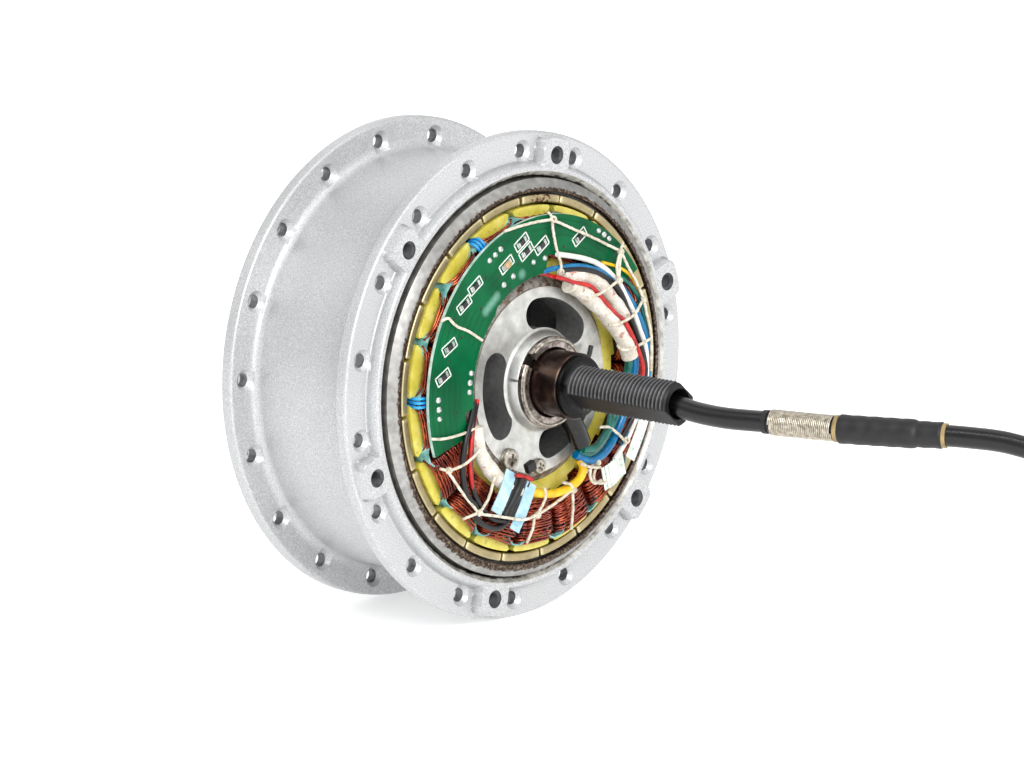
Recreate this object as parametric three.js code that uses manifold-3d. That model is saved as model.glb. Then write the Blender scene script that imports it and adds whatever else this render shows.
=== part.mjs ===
// Direct-drive hub motor for a spoked wheel, open on one side (near cover off).
// Millimetres, +Z up. The axle lies along Y and the open side faces -Y.
// Everything is drawn with Y 0 half way between the two spoke flanges; the last
// step moves the origin to the middle of the axle's rear end face, the part's datum.
// Angles are measured in the XZ plane, from +X towards +Z.
import * as THREE from "three";
import { mergeVertices } from "three/addons/utils/BufferGeometryUtils.js";
import Module from "manifold-3d";

const wasm = await Module();
wasm.setup();

// ---------------------------------------------------------------- dimensions
// hub shell
const FLANGE_OUT = 25.9; // outer face of each spoke flange, from the middle
const FLANGE_T = 4.4;
const FLANGE_R = 73.8;
const RIM_ROUND = 1.0;
const SEAT_Y = 29.25; // cover seat and boss faces
const SEAT_BORE_R = 60.9;
const SEAT_BEVEL = 1.3;
const LAND_R = 63.8; // raised land round the cover seat
const LAND_FOOT = 1.4;
const DRUM_R = 64.0;
const DRUM_FILLET = 3.2;
const RING_BORE_R = 60.7; // bore that holds the back iron
const REAR_BORE_R = 57.4; // cavity behind the back iron
const SPOKES = 18; // on each flange
const SPOKE_R = 68.0;
const SPOKE_HOLE_R = 2.1;
const SPOKE_SINK_R = 3.1;
const SPOKE_SINK_T = 1.2;
const NEAR_SPOKE_ANGLE = 88.4;
const FAR_SPOKE_ANGLE = 78.4;
const BOSSES = 6;
const BOSS_ANGLE = 78.3; // first boss, half way between two near spoke holes
const BOSS_W = 11.8;
const BOSS_R = 72.3;
const BOSS_CORNER = 3.0;
const COVER_SCREW_R = 67.2;
const COVER_HOLE_R = 2.65;
const COVER_HOLE_T = 7.0;

// rotor
const IRON_R = 60.15;
const IRON_BORE_R = 56.3;
const IRON_FRONT = -31.4;
const IRON_BACK = 9.4;
const IRON_CHAMFER_R = 58.4;
const IRON_CHAMFER_Y = -29.3;
const MAGNETS = 20;
const MAGNET_R = [52.95, 55.95];
const MAGNET_JOINT = 4.5; // angle of one joint between magnets
const MAGNET_GAP = 0.5;

// stator core
const CORE_FRONT = -31.2;
const CORE_BACK = 8.8;
const CORE_R = 52.3;
const CORE_BORE_R = 28.5;
const TEETH = 18;
const TOOTH_ANGLE = 10;
const TOOTH_W = 8.0;
const TIP_T = 2.2;
const SLOT_MOUTH = 3.0;
const SLOT_R = [35.6, 48.6];

// windings: a coil on each tooth, three neighbours joined to one group
const COIL_R = [36.0, 48.0];
const COIL_GAP = 0.35;
const COIL_FRONT = -35.6;
const COIL_BACK = 13.2;
const COIL_ROUND = 1.4;
const LINK_R = 0.6;

// spider that carries the core on the axle
const SPIDER_R = 28.15;
const SPIDER_FRONT = -34.8;
const SPIDER_BACK = 9.0;
const SPIDER_BORE_R = 10.5;
const NOSE_R = [14.9, 14.1];
const NOSE_FRONT = -38.6;
const WINDOW_R = [15.5, 24.9];
const WINDOW_SPAN = 78;
const WINDOW_ANGLES = [188, 68, 308];
const SPIDER_SCREW_R = 26.1;
const SPIDER_SCREWS = [
  { name: "spider_screw_large", angle: 238, head: 3.4, t: 2.0, shank: 1.6 },
  { name: "spider_screw_small", angle: 268, head: 2.3, t: 1.6, shank: 1.2 },
];
const SCREW_DEPTH = 8;

// axle
const SEAT_R = 10.0; // both bearing seats
const COLLAR_R = 9.25;
const THREAD_R = 6.9; // M14
const FLAT_HALF = 5.0; // flats 10 mm across
const FLAT_ANGLE = 50;
const NEAR_SEAT = [-50.0, -40.9];
const NEAR_COLLAR = -51.4;
const NEAR_THREAD = -51.9;
const NEAR_END = -90.2;
const REAR_SEAT = [22.4, 36.2];
const REAR_COLLAR = 44.0;
const REAR_THREAD = 47.0;
const REAR_END = 75.0;
const SHOULDER_R = 12.6;
const SHOULDER_Y = 9.4;
const CABLE_BORE_R = 3.75;
const RING_Y = [-40.3, -38.9]; // split ring round the axle, in front of the nose
const RING_GAP = { r: [12.2, 16], from: 134, to: 148 };

// rear bearing, 20 x 42 x 12
const BEARING_Y = [23.4, 35.4];
const BEARING_R = 21.0;
const BEARING_RACES = [13.6, 18.3];
const BALLS = 7;
const BALL_R = 2.0;

// rear cover
const REAR_FACE = SEAT_Y + 0.3;
const COVER_T = 3.4;
const HOUSING_R = 25.4;
const HOUSING_END = 39.4;
const SPIGOT_BORE_R = 53.5;
const SPIGOT_DEPTH = 4.0;
const REAR_SCREWS = 6; // M3, countersunk
const REAR_SCREW_AT_R = 60.0;
const REAR_SCREW = { head: 2.8, shank: 1.45, sink: 1.4, length: 9.0, gap: 0.35 };
const SEAL_R = [COLLAR_R + 0.6, 17.5];
const SEAL_Y = [36.5, 38.8];

// sensor board
const BOARD_R = 50.2;
const BOARD_FRONT = -37.15;
const BOARD_T = 1.2;
const BOARD_SPAN = [35, 199];

// cable and leads
const CABLE_R = 3.15;
const SPRING_Y = [-121, -140.6];
const SPRING_R = 3.85; // centre of the wire
const SPRING_WIRE_R = 0.3;
const SPRING_TURNS = 12;
const SHRINK_Y = [-141.2, -170];
const SHRINK_R = 4.3;
const LEAD_R = 1.3;
const SENSOR_BUNDLE_R = 1.5;
const SLEEVE_R = 2.7;
const THERMISTOR_R = 2.0;

// ------------------------------------------------------------------- helpers
const rad = THREE.MathUtils.degToRad;
const v3 = (x, y, z) => new THREE.Vector3(x, y, z);
const at = (r, angle, y = 0) => v3(r * Math.cos(rad(angle)), y, r * Math.sin(rad(angle)));
const range = (n) => Array.from({ length: n }, (_, i) => i);

function signedVolume(positions, triangles) {
  const [a, b, c] = [v3(), v3(), v3()];
  let sum = 0;
  for (let i = 0; i < triangles.length; i += 3) {
    a.fromArray(positions, 3 * triangles[i]);
    b.fromArray(positions, 3 * triangles[i + 1]);
    c.fromArray(positions, 3 * triangles[i + 2]);
    sum += a.dot(b.cross(c));
  }
  return sum / 6;
}

// three.js geometry to a manifold solid with its faces pointing out
function solid(geometry) {
  geometry.deleteAttribute("normal");
  geometry.deleteAttribute("uv");
  const merged = mergeVertices(geometry, 1e-4);
  const positions = merged.attributes.position.array;
  const triangles = [];
  const index = merged.index.array;
  for (let i = 0; i < index.length; i += 3) {
    const [a, b, c] = index.slice(i, i + 3);
    if (a !== b && b !== c && c !== a) triangles.push(a, b, c);
  }
  if (signedVolume(positions, triangles) < 0) triangles.reverse();
  return new wasm.Manifold(new wasm.Mesh({
    numProp: 3,
    vertProperties: new Float32Array(positions),
    triVerts: new Uint32Array(triangles),
  }));
}

function geometryOf(manifold) {
  const mesh = manifold.getMesh();
  const geometry = new THREE.BufferGeometry();
  geometry.setAttribute("position", new THREE.BufferAttribute(mesh.vertProperties.slice(), 3));
  geometry.setIndex(new THREE.BufferAttribute(mesh.triVerts.slice(), 1));
  geometry.computeVertexNormals();
  return geometry;
}

// closed profile of [radius, y] points turned about the axle
function turned(profile, segments = 54) {
  const points = profile.map(([r, y]) => new THREE.Vector2(r, y));
  if (profile[0][0] > 0) points.push(points[0].clone());
  return solid(new THREE.LatheGeometry(points, segments, Math.PI / 2));
}

// outline of [x, z] points as a plate between two y values
function plate(outline, y0, y1) {
  const shape = new THREE.Shape(outline.map(([x, z]) => new THREE.Vector2(x, z)));
  const geometry = new THREE.ExtrudeGeometry(shape, { depth: y1 - y0, bevelEnabled: false });
  geometry.rotateX(Math.PI / 2);
  geometry.translate(0, y1, 0);
  return solid(geometry);
}

// rod along Y between two y values, round or tapered
function rod(r0, r1, y0, y1, segments = 12) {
  const geometry = new THREE.CylinderGeometry(r1, r0, y1 - y0, segments);
  geometry.translate(0, (y0 + y1) / 2, 0);
  return solid(geometry);
}

function box(x0, x1, y0, y1, z0, z1) {
  const geometry = new THREE.BoxGeometry(x1 - x0, y1 - y0, z1 - z0);
  geometry.translate((x0 + x1) / 2, (y0 + y1) / 2, (z0 + z1) / 2);
  return solid(geometry);
}

// round tube along a curve
function tube(curve, radius, steps, sides = 8) {
  const points = range(sides).map((i) => new THREE.Vector2(
    radius * Math.cos((2 * Math.PI * i) / sides), radius * Math.sin((2 * Math.PI * i) / sides)));
  return solid(new THREE.ExtrudeGeometry(new THREE.Shape(points), { steps, extrudePath: curve }));
}

const smooth = (points) => new THREE.CatmullRomCurve3(points, false, "centripetal");
const union = (solids) => solids.reduce((sum, s) => sum.add(s));
const turnBy = (manifold, angle) => manifold.rotate([0, -angle, 0]);
const moved = (manifold, p) => manifold.translate([p.x, p.y, p.z]);

// [x, z] points of an arc
function arc(r, from, to, steps) {
  return range(steps + 1).map((i) => {
    const p = at(r, from + ((to - from) * i) / steps);
    return [p.x, p.z];
  });
}

// part of a ring between two radii and two angles
const sector = (r0, r1, from, to, steps) => [...arc(r1, from, to, steps), ...arc(r0, to, from, steps)];

// ----------------------------------------------------------------- materials
const finish = (color, roughness, metalness) =>
  new THREE.MeshStandardMaterial({ color, roughness, metalness, flatShading: true });
const castSilver = finish(0xc9cccf, 0.45, 0.6);
const rustySteel = finish(0x6d655d, 0.55, 0.8);
const magnetPlate = finish(0xa8905a, 0.35, 0.9);
const epoxyYellow = finish(0xd8cb58, 0.45, 0.0);
const copperEnamel = finish(0x6a2014, 0.3, 0.5);
const castAluminium = finish(0xb9bab8, 0.45, 0.8);
const brownSteel = finish(0x2c211b, 0.3, 0.8);
const blackSteel = finish(0x1b1b1d, 0.4, 0.7);
const brightSteel = finish(0xa8a49c, 0.3, 0.9);
const boardGreen = finish(0x0c8a4a, 0.35, 0.0);
const blackRubber = finish(0x16171a, 0.4, 0.0);
const blueWire = finish(0x1a62c4, 0.35, 0.0);
const greenWire = finish(0x0f7a68, 0.35, 0.0);
const yellowWire = finish(0xf2c321, 0.35, 0.0);
const whiteGlass = finish(0xe9e4d8, 0.8, 0.0);

const motor = new THREE.Group();

function add(name, material, manifold) {
  const mesh = new THREE.Mesh(geometryOf(manifold), material);
  mesh.name = name;
  motor.add(mesh);
}

// ----------------------------------------------------------------- hub shell
// quarter round of [r, y] points about a centre
function round(r, y, radius, from, to, steps) {
  return range(steps + 1).map((i) => {
    const a = rad(from + ((to - from) * i) / steps);
    return [r + radius * Math.cos(a), y + radius * Math.sin(a)];
  });
}

function shellProfile() {
  const inner = FLANGE_OUT - FLANGE_T;
  const edge = FLANGE_R - RIM_ROUND;
  const foot = DRUM_R + DRUM_FILLET;
  const half = (side) => [
    [LAND_R, side * SEAT_Y],
    [LAND_R + LAND_FOOT, side * FLANGE_OUT],
    ...round(edge, side * (FLANGE_OUT - RIM_ROUND), RIM_ROUND, side * 90, 0, 1),
    ...round(edge, side * (inner + RIM_ROUND), RIM_ROUND, 0, -side * 90, 1),
    ...round(foot, side * (inner - DRUM_FILLET), DRUM_FILLET, side * 90, side * 180, 2),
  ];
  return [
    [SEAT_BORE_R + SEAT_BEVEL, -SEAT_Y],
    ...half(-1),
    ...half(1).reverse(),
    [REAR_BORE_R, SEAT_Y],
    [REAR_BORE_R, IRON_BACK + 0.4],
    [RING_BORE_R, IRON_BACK + 0.4],
    [RING_BORE_R, -SEAT_Y + 3.4],
    [SEAT_BORE_R, -SEAT_Y + 3.0],
    [SEAT_BORE_R, -SEAT_Y + SEAT_BEVEL],
  ];
}

// round-cornered lug between the land and the flange's edge
function bossOutline() {
  const half = BOSS_W / 2;
  const base = LAND_R - 1.0;
  const turn = (x, from) => range(3).map((i) => {
    const a = rad(from + (i * 90) / 2);
    return [BOSS_R - BOSS_CORNER + BOSS_CORNER * Math.cos(a), x + BOSS_CORNER * Math.sin(a)];
  });
  const corners = [...turn(-half + BOSS_CORNER, -90), ...turn(half - BOSS_CORNER, 0)];
  return [[base, -half], ...corners, [base, half]];
}

function rearScrewPlaces() {
  return range(REAR_SCREWS).map((i) => at(REAR_SCREW_AT_R, BOSS_ANGLE - (i * 360) / REAR_SCREWS));
}

function spokeHole(side) {
  const out = side * FLANGE_OUT;
  const inn = side * (FLANGE_OUT - FLANGE_T);
  const low = Math.min(out, inn);
  const high = Math.max(out, inn);
  return union([
    rod(SPOKE_HOLE_R, SPOKE_HOLE_R, low - 1, high + 1, 8),
    rod(SPOKE_SINK_R + 0.5, SPOKE_HOLE_R, low - 0.5, low + SPOKE_SINK_T, 8),
    rod(SPOKE_HOLE_R, SPOKE_SINK_R + 0.5, high - SPOKE_SINK_T, high + 0.5, 8),
  ]);
}

// threaded holes for the near cover in the bosses, and for the rear cover in the shell's wall
function coverHoles() {
  const near = rod(COVER_HOLE_R, COVER_HOLE_R, -SEAT_Y - 0.5, -SEAT_Y + COVER_HOLE_T, 8);
  const r = REAR_SCREW.shank + REAR_SCREW.gap;
  const rear = rod(r, r, SEAT_Y - REAR_SCREW.length, SEAT_Y + 0.5, 8);
  return [
    ...range(BOSSES).map((i) => moved(near, at(COVER_SCREW_R, BOSS_ANGLE - (i * 360) / BOSSES))),
    ...rearScrewPlaces().map((place) => moved(rear, place)),
  ];
}

function hubShell() {
  let shell = turned(shellProfile(), 36);
  const boss = plate(bossOutline(), -SEAT_Y, -FLANGE_OUT + 0.8);
  for (const i of range(BOSSES)) shell = shell.add(turnBy(boss, BOSS_ANGLE - (i * 360) / BOSSES));
  const cuts = coverHoles();
  for (const [side, first] of [[-1, NEAR_SPOKE_ANGLE], [1, FAR_SPOKE_ANGLE]]) {
    for (const i of range(SPOKES)) {
      cuts.push(moved(spokeHole(side), at(SPOKE_R, first + (i * 360) / SPOKES)));
    }
  }
  return shell.subtract(union(cuts));
}

add("hub_shell", castSilver, hubShell());

// --------------------------------------------------------------------- rotor
add("rotor_back_iron", rustySteel, turned([
  [IRON_BORE_R, IRON_FRONT],
  [IRON_CHAMFER_R, IRON_FRONT],
  [IRON_R, IRON_CHAMFER_Y],
  [IRON_R, IRON_BACK],
  [IRON_BORE_R, IRON_BACK],
]));

for (const i of range(MAGNETS)) {
  const pitch = 360 / MAGNETS;
  const gap = THREE.MathUtils.radToDeg(MAGNET_GAP / MAGNET_R[0]) / 2;
  const from = MAGNET_JOINT + i * pitch;
  const outline = sector(MAGNET_R[0], MAGNET_R[1], from + gap, from + pitch - gap, 3);
  const name = `magnet_${String(i + 1).padStart(2, "0")}`;
  add(name, magnetPlate, plate(outline, CORE_FRONT, CORE_BACK));
}

// -------------------------------------------------------------------- stator
// one slot in a frame whose X axis runs outwards along the slot's middle
function slotOutline() {
  const wall = (r) => r * Math.sin(rad(180 / TEETH)) - TOOTH_W / 2;
  const mouth = SLOT_MOUTH / 2;
  const shoulder = CORE_R - TIP_T;
  return [
    [SLOT_R[0], -wall(SLOT_R[0])],
    [SLOT_R[1], -wall(SLOT_R[1])],
    [shoulder, -mouth],
    [CORE_R + 1, -mouth],
    [CORE_R + 1, mouth],
    [shoulder, mouth],
    [SLOT_R[1], wall(SLOT_R[1])],
    [SLOT_R[0], wall(SLOT_R[0])],
  ];
}

function statorCore() {
  const ring = turned([
    [CORE_BORE_R, CORE_FRONT],
    [CORE_R, CORE_FRONT],
    [CORE_R, CORE_BACK],
    [CORE_BORE_R, CORE_BACK],
  ]);
  const slot = plate(slotOutline(), CORE_FRONT - 1, CORE_BACK + 1);
  const slots = range(TEETH).map((i) => turnBy(slot, TOOTH_ANGLE + ((i + 0.5) * 360) / TEETH));
  return ring.subtract(union(slots));
}

add("stator_core", epoxyYellow, statorCore());

// one coil, in a frame whose X axis runs outwards along its tooth
function coil() {
  const side = (r) => r * Math.tan(rad(180 / TEETH)) - COIL_GAP;
  const outline = [
    [COIL_R[0], -side(COIL_R[0])],
    [COIL_R[1], -side(COIL_R[1]) + 0.3],
    [COIL_R[1], side(COIL_R[1]) - 0.3],
    [COIL_R[0], side(COIL_R[0])],
  ];
  const inward = (x) => (x > COIL_R[0] ? -0.8 : 0.5);
  const narrow = outline.map(([x, z]) => [x + inward(x), z - Math.sign(z) * COIL_ROUND]);
  const ends = [
    plate(narrow, COIL_FRONT, COIL_FRONT + COIL_ROUND),
    plate(outline, COIL_FRONT + COIL_ROUND, COIL_BACK - COIL_ROUND),
    plate(narrow, COIL_BACK - COIL_ROUND, COIL_BACK),
  ];
  const half = TOOTH_W / 2 + COIL_GAP;
  const [front, back] = [CORE_FRONT - COIL_GAP, CORE_BACK + COIL_GAP];
  const tooth = box(COIL_R[0] - 1, COIL_R[1] + 1, front, back, -half, half);
  return union(ends).subtract(tooth);
}

// crossover wires between the end turns of neighbouring coils
function crossover(angle) {
  const r = COIL_R[0] + 4;
  const y = COIL_FRONT + 1.9;
  const reach = 3.5;
  const curve = new THREE.LineCurve3(at(r, angle - reach, y), at(r, angle + reach, y));
  return tube(curve, LINK_R, 1, 6);
}

const PHASES = ["a1", "b1", "c1", "a2", "b2", "c2"];
const COILS_PER_GROUP = TEETH / PHASES.length;
PHASES.forEach((phase, group) => {
  const pitch = 360 / TEETH;
  const first = TOOTH_ANGLE + group * COILS_PER_GROUP * pitch;
  const coils = range(COILS_PER_GROUP).map((i) => turnBy(coil(), first + i * pitch));
  const links = range(COILS_PER_GROUP - 1).map((i) => crossover(first + (i + 0.5) * pitch));
  add(`coil_group_${phase}`, copperEnamel, union([...coils, ...links]));
});

// -------------------------------------------------------------------- spider
function spider() {
  const body = turned([
    [SPIDER_BORE_R, NOSE_FRONT],
    [NOSE_R[1], NOSE_FRONT],
    [NOSE_R[0], SPIDER_FRONT],
    [SPIDER_R - 0.8, SPIDER_FRONT],
    [SPIDER_R, SPIDER_FRONT + 0.8],
    [SPIDER_R, SPIDER_BACK],
    [SPIDER_BORE_R, SPIDER_BACK],
  ], 36);
  const cuts = WINDOW_ANGLES.map((angle) => {
    const middle = (WINDOW_R[0] + WINDOW_R[1]) / 2;
    const end = (WINDOW_R[1] - WINDOW_R[0]) / 2;
    const trim = THREE.MathUtils.radToDeg(end / middle);
    const [from, to] = [angle - WINDOW_SPAN / 2 + trim, angle + WINDOW_SPAN / 2 - trim];
    const slot = sector(WINDOW_R[0], WINDOW_R[1], from, to, 5);
    const tip = rod(end, end, SPIDER_FRONT - 1, SPIDER_BACK + 1, 14);
    const tips = [from, to].map((a) => moved(tip, at(middle, a)));
    return union([plate(slot, SPIDER_FRONT - 1, SPIDER_BACK + 1), ...tips]);
  });
  for (const screw of SPIDER_SCREWS) {
    const r = screw.shank + 0.4;
    const hole = rod(r, r, SPIDER_FRONT - 1, SPIDER_FRONT + SCREW_DEPTH + 1, 10);
    cuts.push(moved(hole, at(SPIDER_SCREW_R, screw.angle)));
  }
  return body.subtract(union(cuts));
}

// cable centre line: from the spider's front into the axle's bore, then on to the free end
const CABLE_JOIN = v3(0, -54, 0);
const cableBend = smooth([
  v3(17.6, -38.6, -21.4), v3(12.2, -38.9, -15.6), v3(7.2, -39.2, -9.6), v3(3.0, -41.4, -4.0),
  v3(0.4, -46.5, -0.7), CABLE_JOIN,
]);
const cableRun = smooth([
  CABLE_JOIN, v3(0, -70, 0), v3(0, -88, 0), v3(0, -96, -0.8),
  v3(1.0, -107, -1.8), v3(5.4, -121.5, -2), v3(11.2, -141.4, -2), v3(20.0, -161.5, -2),
  v3(26.4, -176.2, -2), v3(31.4, -188.2, -2.9), v3(36.2, -200.0, -6.5), v3(40.2, -210.5, -14.5),
  v3(42.4, -216.2, -26.0), v3(43.0, -217.0, -38.0),
]);

// clear way for the cable where it turns out of the axle's bore
const cableExit = tube(cableBend, CABLE_BORE_R, 14, 10);

function axle() {
  const body = turned([
    [0, NEAR_END],
    [THREAD_R - 1, NEAR_END],
    [THREAD_R, NEAR_END + 1],
    [THREAD_R, NEAR_THREAD],
    [COLLAR_R, NEAR_COLLAR],
    [COLLAR_R, NEAR_SEAT[0]],
    [SEAT_R, NEAR_SEAT[0]],
    [SEAT_R, SHOULDER_Y],
    [SHOULDER_R, SHOULDER_Y + 1],
    [SHOULDER_R, REAR_SEAT[0]],
    [SEAT_R, REAR_SEAT[0]],
    [SEAT_R, REAR_SEAT[1]],
    [COLLAR_R, REAR_SEAT[1]],
    [COLLAR_R, REAR_COLLAR],
    [THREAD_R, REAR_THREAD],
    [THREAD_R, REAR_END - 1],
    [THREAD_R - 1, REAR_END],
    [0, REAR_END],
  ], 24);
  const cuts = [rod(CABLE_BORE_R, CABLE_BORE_R, NEAR_END - 1, CABLE_JOIN.y + 1, 10), cableExit];
  const ends = [[NEAR_END - 1, NEAR_THREAD], [REAR_THREAD, REAR_END + 1]];
  for (const [y0, y1] of ends) {
    for (const side of [-1, 1]) {
      const cut = box(FLAT_HALF, THREAD_R + 3, y0, y1, -10, 10);
      cuts.push(turnBy(cut, FLAT_ANGLE + (side < 0 ? 180 : 0)));
    }
  }
  return body.subtract(union(cuts));
}

add("axle", brownSteel, axle());

add("stator_spider", castAluminium, spider().subtract(cableExit));

// split ring that keeps the spider on the axle
function retainingRing() {
  const ring = turned([
    [SEAT_R + 0.4, RING_Y[0]],
    [NOSE_R[1] - 0.4, RING_Y[0]],
    [NOSE_R[1] - 0.2, RING_Y[0] + 0.4],
    [NOSE_R[1] - 0.2, RING_Y[1]],
    [SEAT_R + 0.4, RING_Y[1]],
  ], 32);
  const gap = sector(...RING_GAP.r, RING_GAP.from, RING_GAP.to, 2);
  return ring.subtract(cableExit).subtract(plate(gap, RING_Y[0] - 1, RING_Y[1] + 1));
}

add("retaining_ring", brightSteel, retainingRing());

for (const screw of SPIDER_SCREWS) {
  const gap = 0.3;
  const head = rod(screw.head * 0.72, screw.head, SPIDER_FRONT - screw.t - gap, SPIDER_FRONT - gap, 12);
  const shank = rod(screw.shank, screw.shank, SPIDER_FRONT - gap - 0.2, SPIDER_FRONT + SCREW_DEPTH, 8);
  add(screw.name, brightSteel, moved(union([head, shank]), at(SPIDER_SCREW_R, screw.angle)));
}

// ------------------------------------------------------------- rear end
// dished disc with a bearing housing and six countersunk holes
function rearCover() {
  const disc = turned([
    [LAND_R - 0.2, REAR_FACE],
    [LAND_R - 0.2, REAR_FACE + COVER_T - 0.8],
    [LAND_R - 1.0, REAR_FACE + COVER_T],
    [54.0, REAR_FACE + COVER_T],
    [31.0, REAR_FACE + COVER_T + 1.2],
    [HOUSING_R, HOUSING_END - 0.8],
    [HOUSING_R - 0.8, HOUSING_END],
    [18.0, HOUSING_END],
    [18.0, BEARING_Y[1] + 0.4],
    [BEARING_R + 0.35, BEARING_Y[1] + 0.4],
    [BEARING_R + 0.35, BEARING_Y[0] - 0.4],
    [HOUSING_R - 0.4, BEARING_Y[0] - 0.4],
    [27.0, REAR_FACE + 1],
    [SPIGOT_BORE_R, REAR_FACE],
    [SPIGOT_BORE_R, REAR_FACE - SPIGOT_DEPTH],
    [REAR_BORE_R - 0.5, REAR_FACE - SPIGOT_DEPTH],
    [REAR_BORE_R - 0.5, REAR_FACE],
  ], 36);
  const { head, shank, sink, gap } = REAR_SCREW;
  const top = REAR_FACE + COVER_T;
  const hole = union([
    rod(shank + gap, shank + gap, REAR_FACE - 1, top, 8),
    rod(shank + gap, head + gap, top - sink, top, 8),
    rod(head + gap, head + gap, top, top + 1, 8),
  ]);
  return disc.subtract(union(rearScrewPlaces().map((place) => moved(hole, place))));
}
add("rear_cover", castSilver, rearCover());

function rearScrew() {
  const { head, shank, sink, length } = REAR_SCREW;
  const top = REAR_FACE + COVER_T - 0.1;
  const cone = rod(shank, head, top - sink, top, 12);
  const socket = rod(1.15, 1.15, top - 1.2, top + 1, 6);
  return union([cone, rod(shank, shank, SEAT_Y - length + 1, top - sink + 0.2, 6)]).subtract(socket);
}

rearScrewPlaces().forEach((place, i) => {
  add(`rear_cover_screw_${i + 1}`, brightSteel, moved(rearScrew(), place));
});

function ring(r0, r1, y0, y1, segments = 24) {
  return turned([[r0, y0], [r1, y0], [r1, y1], [r0, y1]], segments);
}
add("rear_bearing_outer_ring", brightSteel, ring(BEARING_RACES[1], BEARING_R, ...BEARING_Y));
add("rear_bearing_inner_ring", brightSteel, ring(SEAT_R + 0.35, BEARING_RACES[0], ...BEARING_Y));

function ballCage() {
  const middle = (BEARING_RACES[0] + BEARING_RACES[1]) / 2;
  const y = (BEARING_Y[0] + BEARING_Y[1]) / 2;
  const cage = ring(middle - 0.8, middle + 0.8, y - 2.6, y + 2.6, 18);
  const balls = range(BALLS).map((i) => {
    const ball = solid(new THREE.SphereGeometry(BALL_R, 6, 5));
    return moved(ball, at(middle, (i * 360) / BALLS, y));
  });
  return union([cage, ...balls]);
}
add("rear_bearing_ball_cage", brightSteel, ballCage());
add("rear_axle_seal", blackRubber, ring(...SEAL_R, ...SEAL_Y));

// -------------------------------------------------------------- sensor board
function boardOutline() {
  const [start, end] = BOARD_SPAN;
  return [
    ...arc(BOARD_R, start, end, 20),
    ...arc(35.2, 200, 188, 2),
    ...arc(31.4, 187, 134, 6),
    ...arc(32.6, 130, 90, 5),
    ...arc(38.0, 88, start + 1, 6),
  ];
}
add("sensor_board", boardGreen, plate(boardOutline(), BOARD_FRONT, BOARD_FRONT + BOARD_T));

// -------------------------------------------------------------------- wiring
const cableOuter = tube(cableRun, CABLE_R, 36, 8);
add("motor_cable", blackRubber, cableOuter.add(tube(cableBend, CABLE_R, 14, 8)));

const greenPath = smooth([
  v3(20.2, -38.9, -22.6), v3(26, -38.6, -22.0), v3(31.2, -38.4, -15.5),
  v3(33.8, -38.2, -7.0), v3(34.6, -38.2, 1.5),
]);
const bluePath = smooth([
  v3(19.6, -38.6, -25.6), v3(27, -38.4, -25.4), v3(34.4, -38.2, -17.2),
  v3(37.2, -38.0, -7.6), v3(37.9, -38.0, 1.5),
]);
const yellowPath = smooth([
  v3(16.6, -38.0, -25.0), v3(19.6, -37.8, -29.2), v3(14.2, -37.6, -32.4),
  v3(6, -37.6, -34.2), v3(-3, -37.6, -34.2),
]);
const sensorPath = smooth([
  v3(24.0, -38.6, -29.3), v3(31.4, -38.4, -26.6), v3(38.6, -38.2, -17.0), v3(41.6, -38.2, -6),
  v3(42.2, -38.2, 4), v3(40.6, -38.4, 13.6), v3(36.6, -38.6, 21.6), v3(32.4, -39.4, 26.6),
]);
add("phase_lead_green", greenWire, tube(greenPath, LEAD_R, 14, 8));
add("phase_lead_blue", blueWire, tube(bluePath, LEAD_R, 14, 8));
add("phase_lead_yellow", yellowWire, tube(yellowPath, LEAD_R, 14, 8));
add("sensor_lead_bundle", blackRubber, tube(sensorPath, SENSOR_BUNDLE_R, 20, 8));

const sleevePath = smooth([
  v3(35.4, -38.9, 4.6), v3(33.6, -38.9, 11.4), v3(28.4, -38.9, 18.6),
  v3(20.6, -38.9, 25.2), v3(8.4, -38.9, 31.0),
]);
add("phase_lead_sleeve", whiteGlass, tube(sleevePath, SLEEVE_R, 14, 10));

const thermistorPath = smooth([
  v3(-32.2, -38.4, -15.2), v3(-31.6, -38.4, -24.0), v3(-26.6, -38.4, -34.0), v3(-20.0, -38.6, -36.6),
  v3(-14.2, -38.8, -32.6), v3(-10.6, -38.8, -25.6),
]);
add("thermistor", blackRubber, tube(thermistorPath, THERMISTOR_R, 18, 8));

// -------------------------------------------------- strain relief on the cable
// stretch of the cable's centre line between two y values
function cableStretch(yFrom, yTo, count) {
  const samples = cableRun.getSpacedPoints(400).filter((p) => p.y <= yFrom && p.y >= yTo);
  return smooth(range(count).map((i) => samples[Math.round((i * (samples.length - 1)) / (count - 1))]));
}

class CoilAlong extends THREE.Curve {
  constructor(path, radius, turns) {
    super();
    Object.assign(this, { path, radius, turns });
  }

  getPoint(t, target = v3()) {
    const centre = this.path.getPointAt(t);
    const along = this.path.getTangentAt(t);
    const side = v3().crossVectors(along, v3(0, 0, 1)).normalize();
    const up = v3().crossVectors(side, along);
    const angle = 2 * Math.PI * this.turns * t;
    return target.copy(centre).addScaledVector(side, this.radius * Math.cos(angle))
      .addScaledVector(up, this.radius * Math.sin(angle));
  }
}

const springPath = cableStretch(...SPRING_Y, 6);
add("strain_relief_spring", brightSteel,
  tube(new CoilAlong(springPath, SPRING_R, SPRING_TURNS), SPRING_WIRE_R, SPRING_TURNS * 9, 4));

const shrinkPath = cableStretch(...SHRINK_Y, 8);
const cableRoom = tube(cableRun, CABLE_R + 0.45, 36, 8);
add("heat_shrink_sleeve", blackRubber, tube(shrinkPath, SHRINK_R, 8, 10).subtract(cableRoom));

// the datum: the middle of the axle's rear end face
for (const mesh of motor.children) mesh.geometry.translate(0, -REAR_END, 0);

export default motor;
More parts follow.
